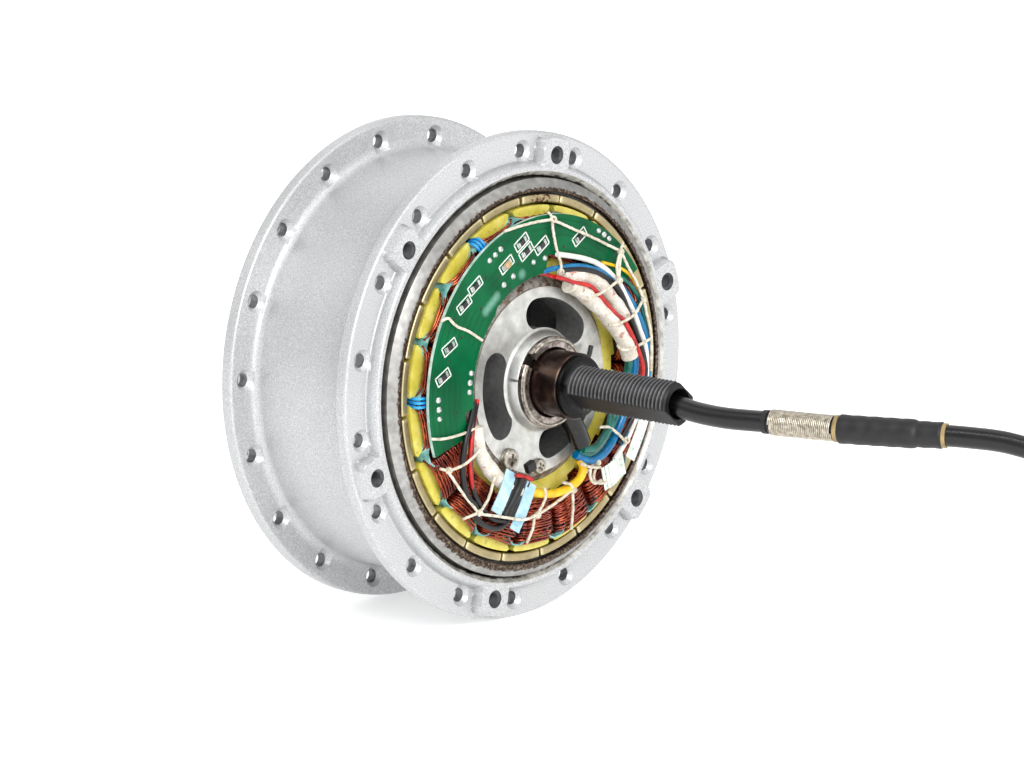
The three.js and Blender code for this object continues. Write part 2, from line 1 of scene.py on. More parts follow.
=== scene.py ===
"""Looks of a spoked-wheel hub motor with its near cover off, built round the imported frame.

Lengths are in millimetres until a mesh is made. The axle lies along Y and the open side faces -Y.
Y is measured from the middle between the flanges; DATUM carries it to the frame's own origin.
Angles are measured in the XZ plane, from +X towards +Z.
"""

import math

import bmesh
import bpy
import numpy as np
from mathutils import Matrix, Vector
from mathutils.geometry import tessellate_polygon


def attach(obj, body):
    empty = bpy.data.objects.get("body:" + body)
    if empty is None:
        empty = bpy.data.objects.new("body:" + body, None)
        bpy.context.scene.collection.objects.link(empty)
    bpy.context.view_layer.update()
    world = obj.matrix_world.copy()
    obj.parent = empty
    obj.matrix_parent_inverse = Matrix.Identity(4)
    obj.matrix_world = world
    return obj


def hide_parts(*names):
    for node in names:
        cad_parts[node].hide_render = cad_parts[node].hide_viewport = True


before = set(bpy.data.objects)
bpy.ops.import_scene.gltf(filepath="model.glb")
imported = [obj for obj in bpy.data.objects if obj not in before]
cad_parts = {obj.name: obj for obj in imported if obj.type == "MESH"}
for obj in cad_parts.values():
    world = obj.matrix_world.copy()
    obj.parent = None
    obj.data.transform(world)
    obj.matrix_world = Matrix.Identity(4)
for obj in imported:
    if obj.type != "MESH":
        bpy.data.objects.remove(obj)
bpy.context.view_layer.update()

MM = 0.001
TURN = 2 * math.pi
rng = np.random.default_rng(5)

# hub shell
FLANGE_OUT, FLANGE_T, FLANGE_R, RIM_ROUND = 25.9, 4.4, 73.8, 1.0
SEAT_Y, SEAT_BORE_R, SEAT_BEVEL = 29.25, 60.9, 1.3
LAND_R, LAND_FOOT, LAND_H = 63.8, 1.4, SEAT_Y - FLANGE_OUT
DRUM_R, DRUM_FILLET, RING_BORE_R, REAR_BORE_R = 64.0, 3.2, 60.7, 57.4
SPOKES, SPOKE_R, NEAR_SPOKE_ANGLE, FAR_SPOKE_ANGLE = 18, 68.0, 88.4, 78.4
BOSSES, BOSS_ANGLE, BOSS_W, BOSS_R, BOSS_CORNER = 6, 78.3, 11.8, 72.3, 3.0
COVER_SCREW_R, COVER_HOLE_T = 67.2, 7.0
HOLE_R, THREAD_HOLE_R, THREAD_CREST_R, THREAD_RIDGE = 2.1, 2.62, 2.0, 0.45  # spoke holes, cover screw holes

# rotor and stator
IRON_R, IRON_BORE_R, IRON_FRONT, IRON_BACK = 60.15, 56.3, -31.4, 9.4
MAGNETS, MAGNET_R, MAGNET_JOINT, MAGNET_GAP = 20, (52.95, 55.5), 4.5, 0.75
CORE_Y, CORE_R, CORE_BORE_R = (-31.2, 8.8), 52.3, 28.5
TEETH, TOOTH_ANGLE, TOOTH_W, TIP_T, SLOT_MOUTH = 18, 10, 8.0, 2.0, 2.0
SLOT_R = (35.6, 48.6)
COIL_Y, COIL_R, WIRE_R, LAYER_T = (-35.6, 13.2), (36.0, 48.0), 0.36, 0.66
SPIDER_R, SPIDER_Y, NOSE_R, NOSE_FRONT, SPIDER_BORE_R = 28.15, (-34.8, 9.0), (14.9, 14.1), -38.6, 10.5
WINDOW_R, WINDOW_SPAN, WINDOW_ANGLES = (15.5, 24.9), 78, (188, 68, 308)
SCREWS = {"spider_screw_large": (238, 3.4, 1.6), "spider_screw_small": (268, 2.4, 1.4)}
WEB_BACK, SKIRT_R = -23.5, 31.4
SCREW_R = 26.1
RING_Y = (-40.3, -38.9)

# axle
SEAT_R, COLLAR_R, THREAD_R, FLAT_HALF, FLAT_ANGLE = 10.0, 9.25, 6.9, 5.0, 50
THREAD_PITCH, THREAD_DEPTH = 1.5, 0.75
NEAR_SEAT, NEAR_COLLAR, NEAR_THREAD, NEAR_END = (-50.0, -40.9), -51.4, -51.9, -90.2
REAR_SEAT, REAR_COLLAR, REAR_THREAD, REAR_END = (22.4, 36.2), 44.0, 47.0, 75.0
SHOULDER_R, SHOULDER_Y, CABLE_BORE_R = 12.6, 9.4, 3.75
PUNCH_R, PUNCH_AT = 0.9, (82, -44.6)  # punch mark on the bearing seat: its angle and y

DATUM = np.array([0, REAR_END, 0])  # the frame's origin, the middle of the axle's rear end face

# rear cover
COVER_Y, COVER_T, HOUSING_R, HOUSING_END = SEAT_Y + 0.3, 3.4, 25.4, 39.4
BEARING_Y, BEARING_R = (23.4, 35.4), 21.0
REAR_SCREWS, REAR_SCREW_AT_R, REAR_HEAD_R, REAR_SHANK_R, REAR_SINK = 6, 60.0, 2.8, 1.45, 1.4

# board, cable and leads
BOARD_R, FACE, BOARD_T, BOARD_SPAN = 50.2, -37.15, 1.2, (35, 199)
CABLE_R, SPRING_Y, SHRINK_Y = 3.15, (-121, -140.6), (-141.2, -170)


# ------------------------------------------------------------------ geometry
def at(r, angle, y=0.0):
    a = math.radians(angle)
    return np.array([r * math.cos(a), y, r * math.sin(a)])


def grid_faces(rows, cols, wrap_rows=False, wrap_cols=True):
    i, j = np.meshgrid(np.arange(rows - (not wrap_rows)), np.arange(cols - (not wrap_cols)), indexing="ij")
    down, right = (i + 1) % rows, (j + 1) % cols
    corners = (i * cols + j, i * cols + right, down * cols + right, down * cols + j)
    return np.stack(corners, -1).reshape(-1, 4).tolist()


def lathe(profile, segments=180, closed=True):
    """[radius, y] points turned about the axle; closed joins the last point to the first."""
    r, y = np.asarray(profile, float).T[:, :, None]
    turn = np.arange(segments) * TURN / segments
    points = np.stack([r * np.cos(turn), y + 0 * turn, r * np.sin(turn)], -1).reshape(-1, 3)
    return points, grid_faces(len(profile), segments, closed)


def loft(rows, turn):
    """Closed skin through (y, radii) rows, one radius for each angle in turn."""
    rings = [np.stack([r * np.cos(turn), np.full_like(turn, y), r * np.sin(turn)], -1) for y, r in rows]
    return np.vstack(rings), grid_faces(len(rows), len(turn))


def plate(outlines, y0, y1):
    """Plate between two y values. The first outline of [x, z] points is its edge, the others are holes."""
    flat = [p for outline in outlines for p in outline]
    n = len(flat)
    points = [(x, y, z) for y in (y0, y1) for x, z in flat]
    if len(outlines) == 1:
        caps = [list(range(n))]
    else:
        caps = [list(t) for t in tessellate_polygon([[Vector((x, z, 0)) for x, z in o] for o in outlines])]
    faces = caps + [[k + n for k in reversed(cap)] for cap in caps]
    start = 0
    for outline in outlines:
        m = len(outline)
        ring = [(start + k, start + (k + 1) % m) for k in range(m)]
        faces += [[a, b, b + n, a + n] for a, b in ring]
        start += m
    return points, faces


def tube(path, radius, sides=12, closed=False):
    """Round tube along a path; its radius may differ from point to point."""
    path = np.asarray(path, float)
    n = len(path)
    along = np.roll(path, -1, 0) - np.roll(path, 1, 0) if closed else np.gradient(path, axis=0)
    along /= np.linalg.norm(along, axis=1)[:, None]
    side = np.cross(along[0], (0.31, 0.47, 0.83))
    frames = []
    for direction in along:
        side = side - direction * (side @ direction)
        side /= np.linalg.norm(side)
        frames.append(side)
    side = np.array(frames)
    up = np.cross(along, side)
    turn = np.arange(sides)[None, :, None] * TURN / sides
    spread = np.broadcast_to(radius, n)[:, None, None]
    points = path[:, None] + spread * (np.cos(turn) * side[:, None] + np.sin(turn) * up[:, None])
    faces = grid_faces(n, sides, closed)
    if not closed:
        faces += [list(range(sides)), list(range((n - 1) * sides, n * sides))]
    return points.reshape(-1, 3), faces


def spline(points, step=0.7):
    """Even points, about step apart, on a centripetal Catmull-Rom curve through the given ones."""
    p = np.asarray(points, float)
    p = np.vstack([2 * p[0] - p[1], p, 2 * p[-1] - p[-2]])
    t = np.concatenate([[0], np.cumsum(np.linalg.norm(np.diff(p, axis=0), axis=1) ** 0.5)])
    dense = []
    for i in range(1, len(p) - 2):
        u = np.linspace(t[i], t[i + 1], 20, endpoint=False)[:, None]

        def between(a, b, ta, tb):
            return ((tb - u) * a + (u - ta) * b) / (tb - ta)

        a = [between(p[k], p[k + 1], t[k], t[k + 1]) for k in (i - 1, i, i + 1)]
        b = [between(a[k], a[k + 1], t[i - 1 + k], t[i + 1 + k]) for k in (0, 1)]
        dense.append(between(b[0], b[1], t[i], t[i + 1]))
    dense = np.vstack([*dense, p[-2:-1]])
    length = np.concatenate([[0], np.cumsum(np.linalg.norm(np.diff(dense, axis=0), axis=1))])
    even = np.linspace(0, length[-1], max(3, int(length[-1] / step) + 1))
    return np.stack([np.interp(even, length, dense[:, k]) for k in range(3)], -1)


def block(centre, size, angle=0.0):
    """Box with sides size = (u, y, v); u lies at an angle in the XZ plane."""
    c, s = math.cos(math.radians(angle)), math.sin(math.radians(angle))
    points = []
    for y in (-0.5, 0.5):
        for u, v in ((-0.5, -0.5), (0.5, -0.5), (0.5, 0.5), (-0.5, 0.5)):
            du, dv = u * size[0], v * size[2]
            points.append((centre[0] + du * c - dv * s, centre[1] + y * size[1], centre[2] + du * s + dv * c))
    faces = [[0, 1, 2, 3], [7, 6, 5, 4]] + [[k, (k + 1) % 4, (k + 1) % 4 + 4, k + 4] for k in range(4)]
    return points, faces


def dome(centre, radius, height, segments=14, rings=4):
    """Low round blob standing on the board towards -Y."""
    lift = [math.sin(k * math.pi / 2 / rings) for k in range(rings + 1)]
    profile = [(radius * math.sqrt(max(0.0, 1 - s * s)), -height * s) for s in lift]
    points, faces = lathe(profile, segments, closed=False)
    return points + np.asarray(centre), faces


def arc(r, start, end, steps):
    return [tuple(at(r, start + (end - start) * k / steps)[[0, 2]]) for k in range(steps + 1)]


def sector(r0, r1, start, end, steps):
    return arc(r1, start, end, steps) + arc(r0, end, start, steps)


def turned(solid, angle):
    """The solid turned about the axle."""
    c, s = math.cos(math.radians(angle)), math.sin(math.radians(angle))
    x, y, z = np.asarray(solid[0], float).T
    return np.stack([x * c - z * s, y, x * s + z * c], -1), solid[1]


def shifted(solid, offset):
    return np.asarray(solid[0], float) + np.asarray(offset, float), solid[1]


def join(solids):
    points, faces, start = [], [], 0
    for p, f in solids:
        points.append(np.asarray(p, float))
        faces += [[k + start for k in face] for face in f]
        start += len(p)
    return np.vstack(points), faces


def mesh_of(name, solid):
    points, faces = solid
    mesh = bpy.data.meshes.new(name)
    mesh.from_pydata(((np.asarray(points) - DATUM) * MM).tolist(), [], faces)
    work = bmesh.new()
    work.from_mesh(mesh)
    bmesh.ops.remove_doubles(work, verts=work.verts, dist=1e-7)
    bmesh.ops.recalc_face_normals(work, faces=work.faces)
    work.to_mesh(mesh)
    work.free()
    return mesh


def piece(name, solid, finish, body, stands_for=(), sharp=35, bevel=0.0, cut=None):
    """A shown mesh that rides on a body, rounded by bevel or creased at the sharp angle."""
    mesh = mesh_of(name, solid)
    obj = bpy.data.objects.new(name, mesh)
    bpy.context.scene.collection.objects.link(obj)
    if cut is not None:
        mesh = carve(obj, cut)
    mesh.materials.append(finish.material)
    mesh.shade_smooth()
    if bevel:
        rounding = obj.modifiers.new("rounding", "BEVEL")
        rounding.width, rounding.segments, rounding.harden_normals = bevel * MM, 3, True
        rounding.limit_method, rounding.angle_limit = "ANGLE", math.radians(sharp)
    else:
        mesh.set_sharp_from_angle(angle=math.radians(sharp))
    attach(obj, body)
    if stands_for:
        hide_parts(*stands_for)
    return obj


def carve(obj, solid):
    """Cuts a solid out of an object and returns its new mesh."""
    tool = bpy.data.objects.new("tool", mesh_of("tool", solid))
    bpy.context.scene.collection.objects.link(tool)
    cut = obj.modifiers.new("cut", "BOOLEAN")
    cut.object, cut.solver = tool, "MANIFOLD"
    evaluated = obj.evaluated_get(bpy.context.evaluated_depsgraph_get())
    mesh = bpy.data.meshes.new_from_object(evaluated)
    mesh.materials.clear()
    mesh.polygons.foreach_set("material_index", [0] * len(mesh.polygons))
    obj.modifiers.clear()
    obj.data = mesh
    bpy.data.objects.remove(tool)
    return mesh


# ------------------------------------------------------------------ finishes
def rgb(code):
    parts = [int(code[k:k + 2], 16) / 255 for k in (0, 2, 4)]
    return [c / 12.92 if c <= 0.04045 else ((c + 0.055) / 1.055) ** 2.4 for c in parts] + [1.0]


class Finish:
    """A procedural material and the record slot it belongs to. Sizes in its patterns are in mm."""

    def __init__(self, name, slot, roughness=0.5, metallic=0.0, coat=0.0):
        self.slot = slot
        self.material = bpy.data.materials.new(name)
        self.material.use_nodes = True
        self.tree = self.material.node_tree
        self.bsdf = self.tree.nodes["Principled BSDF"]
        here = self.node("TexCoord", output="Object")
        self.place = self.node("VectorMath", {0: here, 1: tuple(DATUM * MM)}, operation="ADD")
        self.set("Roughness", roughness)
        self.set("Metallic", metallic)
        self.set("Coat Weight", coat)
        self.set("Coat Roughness", 0.15)

    def node(self, kind, inputs=None, output=0, **settings):
        node = self.tree.nodes.new("ShaderNode" + kind)
        for key, value in settings.items():
            setattr(node, key, value)
        for key, value in (inputs or {}).items():
            self.join(value, node.inputs[key])
        return node.outputs[output]

    def join(self, value, socket):
        if isinstance(value, bpy.types.NodeSocket):
            self.tree.links.new(value, socket)
        else:
            socket.default_value = rgb(value) if isinstance(value, str) else value

    def set(self, name, value):
        self.join(value, self.bsdf.inputs[name])

    def stretched(self, stretch):
        return self.node("VectorMath", {0: self.place, 1: stretch}, operation="MULTIPLY")

    def noise(self, size, detail=3.0, distortion=0.0):
        inputs = {"Vector": self.place, "Scale": 1000 / size, "Detail": detail, "Distortion": distortion}
        return self.node("TexNoise", inputs)

    def cells(self, size):
        return self.node("TexVoronoi", {"Vector": self.place, "Scale": 1000 / size}, "Distance")

    def ramp(self, factor, *stops):
        node = self.tree.nodes.new("ShaderNodeValToRGB")
        self.join(factor, node.inputs[0])
        elements = node.color_ramp.elements
        while len(elements) < len(stops):
            elements.new(0.5)
        for element, (position, colour) in zip(elements, stops):
            element.position, element.color = position, rgb(colour)
        return node.outputs[0]

    def mix(self, factor, a, b):
        return self.node("Mix", {0: factor, 6: a, 7: b}, 2, data_type="RGBA")

    def maths(self, operation, a, b=0.0):
        return self.node("Math", {0: a, 1: b}, operation=operation)

    def band(self, value, low, high, top=1.0):
        """0 below low and top above high, smooth between; low may be the larger."""
        inputs = {"Value": value, "From Min": low, "From Max": high, "To Min": 0.0, "To Max": top}
        return self.node("MapRange", inputs, interpolation_type="SMOOTHSTEP")

    def spread(self, value, low, high):
        return self.node("MapRange", {"Value": value, "To Min": low, "To Max": high})

    def tones(self, size, detail, *stops):
        """Colours mixed by a noise of a size in mm."""
        return self.ramp(self.noise(size, detail), *stops)

    def gloss(self, size, detail, low, high):
        """Uneven roughness between two values."""
        self.set("Roughness", self.spread(self.noise(size, detail), low, high))

    def times(self, *values):
        result = values[0]
        for value in values[1:]:
            result = self.maths("MULTIPLY", result, value)
        return result

    def radius(self):
        return self.node("VectorMath", {0: self.stretched((1000, 0, 1000))}, "Value", operation="LENGTH")

    def away(self, point):
        """Distance from a point, in mm."""
        here = self.stretched((1000, 1000, 1000))
        return self.node("VectorMath", {0: here, 1: tuple(point)}, "Value", operation="DISTANCE")

    def along_axle(self):
        return self.node("SeparateXYZ", {0: self.stretched((1000, 1000, 1000))}, "Y")

    def facing_axle(self):
        """1 on faces square to the axle, 0 on walls along it."""
        normal = self.node("TexCoord", output="Normal")
        return self.maths("ABSOLUTE", self.node("SeparateXYZ", {0: normal}, "Y"))

    def edges(self, low=0.51, high=0.56):
        """1 on convex edges."""
        return self.band(self.node("NewGeometry", output="Pointiness"), low, high)

    def bump(self, height, depth, strength=1.0):
        inputs = {"Height": height, "Distance": depth * MM, "Strength": strength}
        link = self.bsdf.inputs["Normal"].links
        if link:
            inputs["Normal"] = link[0].from_socket
        self.set("Normal", self.node("Bump", inputs, "Normal"))
        return self


def silver_coat():
    f = Finish("silver_coat", "silver_coat", metallic=0.45)
    flakes, patches = f.noise(0.35, 2), f.noise(14, 4)
    base = f.ramp(flakes, (0.3, "a6a7a9"), (0.52, "c2c3c4"), (0.74, "dcdddd"))
    base = f.mix(f.band(patches, 0.45, 0.75, 0.25), base, "b4b6b8")
    reach = f.maths("MULTIPLY", f.along_axle(), -1.0)  # towards the open side
    patchy = f.spread(f.noise(1.6, 5), 0.4, 1.3)
    lip = f.times(f.band(f.radius(), 62.5, 61.9), f.band(reach, 26.4, 27.2), patchy)
    base = f.mix(lip, base, f.tones(2.5, 5, (0.32, "7f7a6e"), (0.5, "bcb9af"), (0.7, "dedcd5")))
    # Painted shade: darker grey on the sloping walls of the land and the screw bosses, strongest at their
    # foot by the flange face.
    sloping = f.band(f.facing_axle(), 0.93, 0.6)
    foot = f.times(f.band(reach, 28.4, 26.0), sloping, f.band(f.radius(), 72.4, 72.0))
    outside = f.band(reach, 25.7, 25.95)
    base = f.mix(f.times(foot, outside, 0.5), base, "77787a")
    # Dark brown in patches on the bore wall just inside the lip: dirt, and painted shade of the narrow gap
    # beside the back iron.
    grime_and_shade = f.times(f.band(f.radius(), 61.5, 61.1), f.band(reach, 24, 25), f.band(f.noise(3, 5), 0.4, 0.6))
    base = f.mix(grime_and_shade, base, "3b3128")
    scuff = f.band(f.noise(2.2, 6, distortion=1.5), 0.7, 0.76, 0.25)
    f.set("Base Color", f.mix(scuff, base, "8c8d91"))
    f.gloss(3, 4, 0.34, 0.46)
    return f.bump(flakes, 0.004)


def ring_steel():
    """Polished chamfer with a torn brown line by the magnets, widest at the bottom."""
    f = Finish("ring_steel", "ring_steel", metallic=0.85)
    rust = f.tones(0.8, 6, (0.36, "2a1d16"), (0.5, "4e4036"), (0.6, "6e6053"), (0.7, "8d8072"))
    machined = f.tones(2.4, 5, (0.32, "8c8b88"), (0.5, "9e9d9a"), (0.7, "b2b1ae"))
    height = f.node("SeparateXYZ", {0: f.stretched((1000, 1000, 1000))}, "Z")
    torn = f.maths("ADD", f.radius(), f.times(f.noise(1.5, 6), -2.2))
    edge = f.maths("SUBTRACT", torn, f.band(height, -15, -52, 1.1))
    f.set("Base Color", f.mix(f.band(edge, 56.1, 56.5), rust, machined))
    f.set("Roughness", f.mix(f.band(edge, 56.1, 56.5), "b4b4b4", "a2a2a2"))
    return f.bump(f.noise(0.5, 5), 0.012)


def magnet_plating():
    f = Finish("magnet_plating", "magnet_plating", metallic=0.85)
    base = f.tones(2.2, 6, (0.3, "44371f"), (0.5, "705f3a"), (0.7, "8c7a4e"))
    # Lighter on the convex edges: worn plating, and a painted highlight along them.
    base = f.mix(f.edges(0.515, 0.55), base, "d2c49a")
    smear = f.times(f.band(f.away((4.2, -31.2, 54.3)), 5.2, 3.0), f.band(f.noise(1.2, 4), 0.42, 0.6))
    f.set("Base Color", f.mix(smear, base, "4b130c"))
    f.gloss(1.1, 5, 0.28, 0.5)
    return f.bump(f.noise(0.8, 5), 0.03)


# Near-black glue behind the magnets; the same finish is painted shade at the bottom of the retaining ring's
# gap.
def dark_glue_and_shade():
    f = Finish("dark_glue_and_shade", "ring_steel", roughness=0.4)
    f.set("Base Color", f.tones(1.3, 4, (0.35, "060504"), (0.65, "16110d")))
    return f.bump(f.noise(1.0, 4), 0.15)


def core_epoxy():
    f = Finish("core_epoxy", "core_epoxy", coat=0.25)
    base = f.tones(5, 4, (0.3, "c9bb3f"), (0.55, "ddd05c"), (0.75, "ece284"))
    dirt = f.band(f.noise(1.6, 6), 0.6, 0.74, 0.45)
    base = f.mix(dirt, base, "6f6224")
    f.set("Base Color", base)
    f.gloss(2, 3, 0.35, 0.55)
    return f.bump(f.noise(1.3, 3), 0.12).bump(f.noise(0.35, 2), 0.02)


def copper_enamel():
    f = Finish("copper_enamel", "copper_enamel", metallic=0.8, coat=0.5)
    base = f.tones(5, 4, (0.3, "5a190c"), (0.5, "8f3218"), (0.7, "c05c30"))
    f.set("Base Color", base)
    f.gloss(1.0, 3, 0.16, 0.3)
    return f.bump(f.noise(0.6, 3), 0.01)


def slot_paper():
    f = Finish("slot_paper", "green_insulation", roughness=0.65)
    f.set("Base Color", f.tones(3, 4, (0.3, "3f7f7c"), (0.5, "74b0ac"), (0.7, "a9d3d2")))
    return f.bump(f.noise(0.4, 4), 0.05)


def board_green():
    f = Finish("board_green", "board_green")
    base = f.tones(12, 3, (0.3, "004a2b"), (0.7, "01653a"))
    rings = f.maths("FRACT", f.maths("DIVIDE", f.radius(), 2.3))
    tracks = f.times(f.band(rings, 0.3, 0.22), f.band(f.noise(16, 1), 0.46, 0.5))
    base = f.mix(f.times(tracks, 0.35), base, "00421f")
    for x, z in ((-26, 24.4), (-24.4, 25.7), (-22.8, 27), (-21.2, 28.3), (-10.3, 33.6)):
        base = f.mix(f.band(f.away((x, FACE, z)), 2.2, 0.4, 0.3), base, "a4dccb")
    wall = f.band(f.facing_axle(), 0.6, 0.3)
    f.set("Base Color", f.mix(wall, base, f.tones(3, 4, (0.35, "8db3a6"), (0.65, "c9ddd4"))))
    f.gloss(4, 3, 0.24, 0.42)
    f.set("Specular IOR Level", 0.12)
    return f.bump(tracks, 0.04).bump(f.noise(0.6, 2), 0.005)


def solder():
    f = Finish("solder", "bright_steel", metallic=0.9)
    f.set("Base Color", f.tones(0.8, 3, (0.3, "9da2a0"), (0.7, "e6e9e6")))
    f.gloss(0.7, 3, 0.2, 0.45)
    return f.bump(f.noise(0.5, 3), 0.03)


def plain(name, slot, dark, light, roughness=0.4, grain=0.5, depth=0.03, metallic=0.0):
    """A finish between two tones, with fine grain and uneven gloss."""
    f = Finish(name, slot, metallic=metallic)
    f.set("Base Color", f.tones(3.0, 5, (0.32, dark), (0.68, light)))
    f.gloss(2.0, 4, roughness - 0.1, roughness + 0.12)
    return f.bump(f.noise(grain, 4), depth)


def glass_sleeve():
    f = Finish("glass_sleeve", "white_sleeve", roughness=0.8)
    weave = f.cells(0.55)
    base = f.tones(4, 4, (0.3, "cfc6b6"), (0.6, "ece7dd"), (0.8, "f6f3ec"))
    spots = f.band(f.noise(2.8, 3), 0.63, 0.7, 0.7)
    base = f.mix(spots, base, "b4543f")
    f.set("Base Color", f.mix(f.band(weave, 0.35, 0.6, 0.25), base, "9b9284"))
    return f.bump(weave, 0.12)


def dotted_paper():
    f = Finish("white_paper", "white_sleeve", roughness=0.75)
    paper = f.tones(3, 5, (0.32, "c9d6cb"), (0.68, "f1f2ec"))
    f.set("Base Color", f.mix(f.band(f.cells(1.6), 0.24, 0.16, 0.7), paper, "3fae9c"))
    return f.bump(f.noise(1.2, 4), 0.1)


def lacing():
    f = Finish("lacing", "white_sleeve", roughness=0.75)
    f.set("Base Color", f.tones(1.5, 5, (0.3, "b3a991"), (0.55, "dcd5c4"), (0.75, "efebdf")))
    return f.bump(f.cells(0.4), 0.1)


def cast_aluminium():
    f = Finish("cast_aluminium", "cast_aluminium", metallic=0.8)
    grain = f.noise(0.8, 6)
    face = f.tones(3.0, 5, (0.3, "b2b2ae"), (0.5, "c3c3bf"), (0.7, "d6d6d2"))
    wall = f.tones(1.6, 5, (0.3, "9fa09f"), (0.6, "b4b5b4"), (0.8, "c4c5c4"))
    square = f.facing_axle()
    inside = f.band(f.radius(), 27.4, 26.8)
    f.set("Base Color", f.mix(f.times(f.band(square, 0.6, 0.3), inside), face, wall))
    f.set("Roughness", f.spread(grain, 0.3, 0.42))
    marks = f.maths("SINE", f.maths("MULTIPLY", f.radius(), 18.0))
    f.bump(f.times(marks, f.band(square, 0.9, 0.98)), 0.008, 0.6)
    return f.bump(grain, 0.012)


def brown_casting():
    """The spider's sloping edge, stained by varnish."""
    f = Finish("brown_casting", "cast_aluminium", metallic=0.4)
    stain = f.band(f.noise(2.4, 6, distortion=1.0), 0.42, 0.58)
    clean = f.tones(1.6, 5, (0.3, "8f8a84"), (0.7, "b9b4ad"))
    f.set("Base Color", f.mix(stain, clean, f.tones(1.1, 5, (0.35, "4b3a31"), (0.65, "85705f"))))
    f.gloss(1.2, 4, 0.35, 0.6)
    return f.bump(f.noise(0.8, 5), 0.05)


def axle_steel():
    f = Finish("axle_steel", "axle_steel", metallic=0.7)
    y = f.along_axle()
    seat = f.tones(3.5, 5, (0.3, "1a100b"), (0.5, "30201a"), (0.7, "4e3a2d"))
    black = f.tones(1.2, 5, (0.35, "070708"), (0.65, "161618"))
    is_seat = f.times(f.band(y, NEAR_SEAT[0] - 0.1, NEAR_SEAT[0] + 0.2), f.band(y, 8.8, 8.6))
    base = f.mix(is_seat, black, seat)
    on_thread = f.band(y, NEAR_THREAD, NEAR_THREAD - 0.4)
    # Thread crests lighter grey: wear, and a painted highlight along the ridges.
    crest_wear_and_highlight = f.times(f.band(f.radius(), THREAD_R - 0.45, THREAD_R - 0.05), on_thread)
    base = f.mix(f.times(crest_wear_and_highlight, f.spread(f.noise(0.9, 5), 0.1, 0.9)), base, "78787a")
    f.set("Base Color", base)
    polished = f.spread(f.noise(1.4, 4), 0.16, 0.3)
    f.set("Roughness", f.maths("ADD", polished, f.band(y, NEAR_THREAD + 0.3, NEAR_THREAD, 0.24)))
    f.set("Metallic", f.maths("SUBTRACT", 0.7, f.band(y, NEAR_THREAD + 0.3, NEAR_THREAD, 0.35)))
    return f.bump(f.noise(0.7, 5), 0.012)


def bright_steel(name="bright_steel", dark="7c756a", light="cfc9bd"):
    f = Finish(name, "bright_steel", metallic=0.9)
    f.set("Base Color", f.tones(1.2, 5, (0.3, dark), (0.68, light)))
    f.gloss(0.9, 4, 0.22, 0.42)
    return f.bump(f.noise(0.5, 4), 0.02)


SILVER, RUSTY, MAGNET, GLUE_AND_SHADE, EPOXY = silver_coat(), ring_steel(), magnet_plating(), dark_glue_and_shade(), core_epoxy()
COPPER, PAPER, BOARD, SOLDER = copper_enamel(), slot_paper(), board_green(), solder()
SLEEVE, CORD, ALUMINIUM = glass_sleeve(), lacing(), cast_aluminium()
AXLE, STEEL = axle_steel(), bright_steel()
BROWN_RING = bright_steel("brown_ring", "54463f", "b9afa8")
SPRING, SKIRT = bright_steel("spring_wire", "8f8676", "d9d1c2"), brown_casting()
# Darker tones for the walls of spoke holes and threaded holes: painted shade inside the holes.
HOLE = plain("hole_wall_shade", "silver_coat", "515254", "8a8b8d", 0.45, metallic=0.5)
THREAD = plain("hole_thread_shade", "silver_coat", "303132", "66676a", 0.7, metallic=0.3)
# near-black copper for the coil hearts: painted shade between the turns
HEART_SHADE = plain("coil_heart", "copper_enamel", "0d0403", "1f0a06", 0.6)
RUBBER = plain("black_rubber", "black_rubber", "040405", "0b0b0d", 0.24, depth=0.004)
SHRINK = plain("heat_shrink", "black_rubber", "070708", "151517", 0.5, grain=0.8, depth=0.03)
INK = plain("white_ink", "board_green", "cfd6cf", "f1f4ee", 0.6, depth=0.01)
CHIP = plain("chip_black", "board_green", "111112", "2a2a2c", 0.45, depth=0.02)
VIA = plain("via", "board_green", "04180d", "0b3a20", 0.4, depth=0.02)
TAN_CHIP = plain("chip_tan", "board_green", "8e7350", "c5a67c", 0.5, depth=0.02)
TAN_GLUE = plain("tan_glue", "black_rubber", "7d6a45", "b29a68", 0.5, depth=0.08)
BLUE_PAPER = plain("blue_paper", "blue_insulation", "8fbcd0", "c2dfea", 0.7, depth=0.05)
WHITE_PAPER = dotted_paper()
WIRES = {
    "green": plain("wire_green", "green_insulation", "005046", "006e62", 0.18, depth=0.004),
    "blue": plain("wire_blue", "blue_insulation", "005f92", "007db4", 0.18, depth=0.004),
    "yellow": plain("wire_yellow", "yellow_insulation", "e0a800", "ffcf20", 0.35, depth=0.01),
    "red": plain("wire_red", "copper_enamel", "900808", "cf1d18", 0.35, depth=0.01),
    "black": plain("wire_black", "black_rubber", "040405", "101012", 0.35, depth=0.01),
    "light_blue": plain("wire_light_blue", "blue_insulation", "0f80cc", "2ea4e6", 0.24, depth=0.004),
    "white": plain("wire_white", "white_sleeve", "dbd8d0", "f8f7f3", 0.4, depth=0.01),
}


# ----------------------------------------------------------------- hub shell
def smooth_step(x, low, high):
    t = np.clip((x - low) / (high - low), 0, 1)
    return t * t * (3 - 2 * t)


def land_height(r):
    """Height of the land round the cover's seat above the flange's outer face."""
    return LAND_H * (1 - smooth_step(r, LAND_R - 0.4, LAND_R + LAND_FOOT + 0.2))


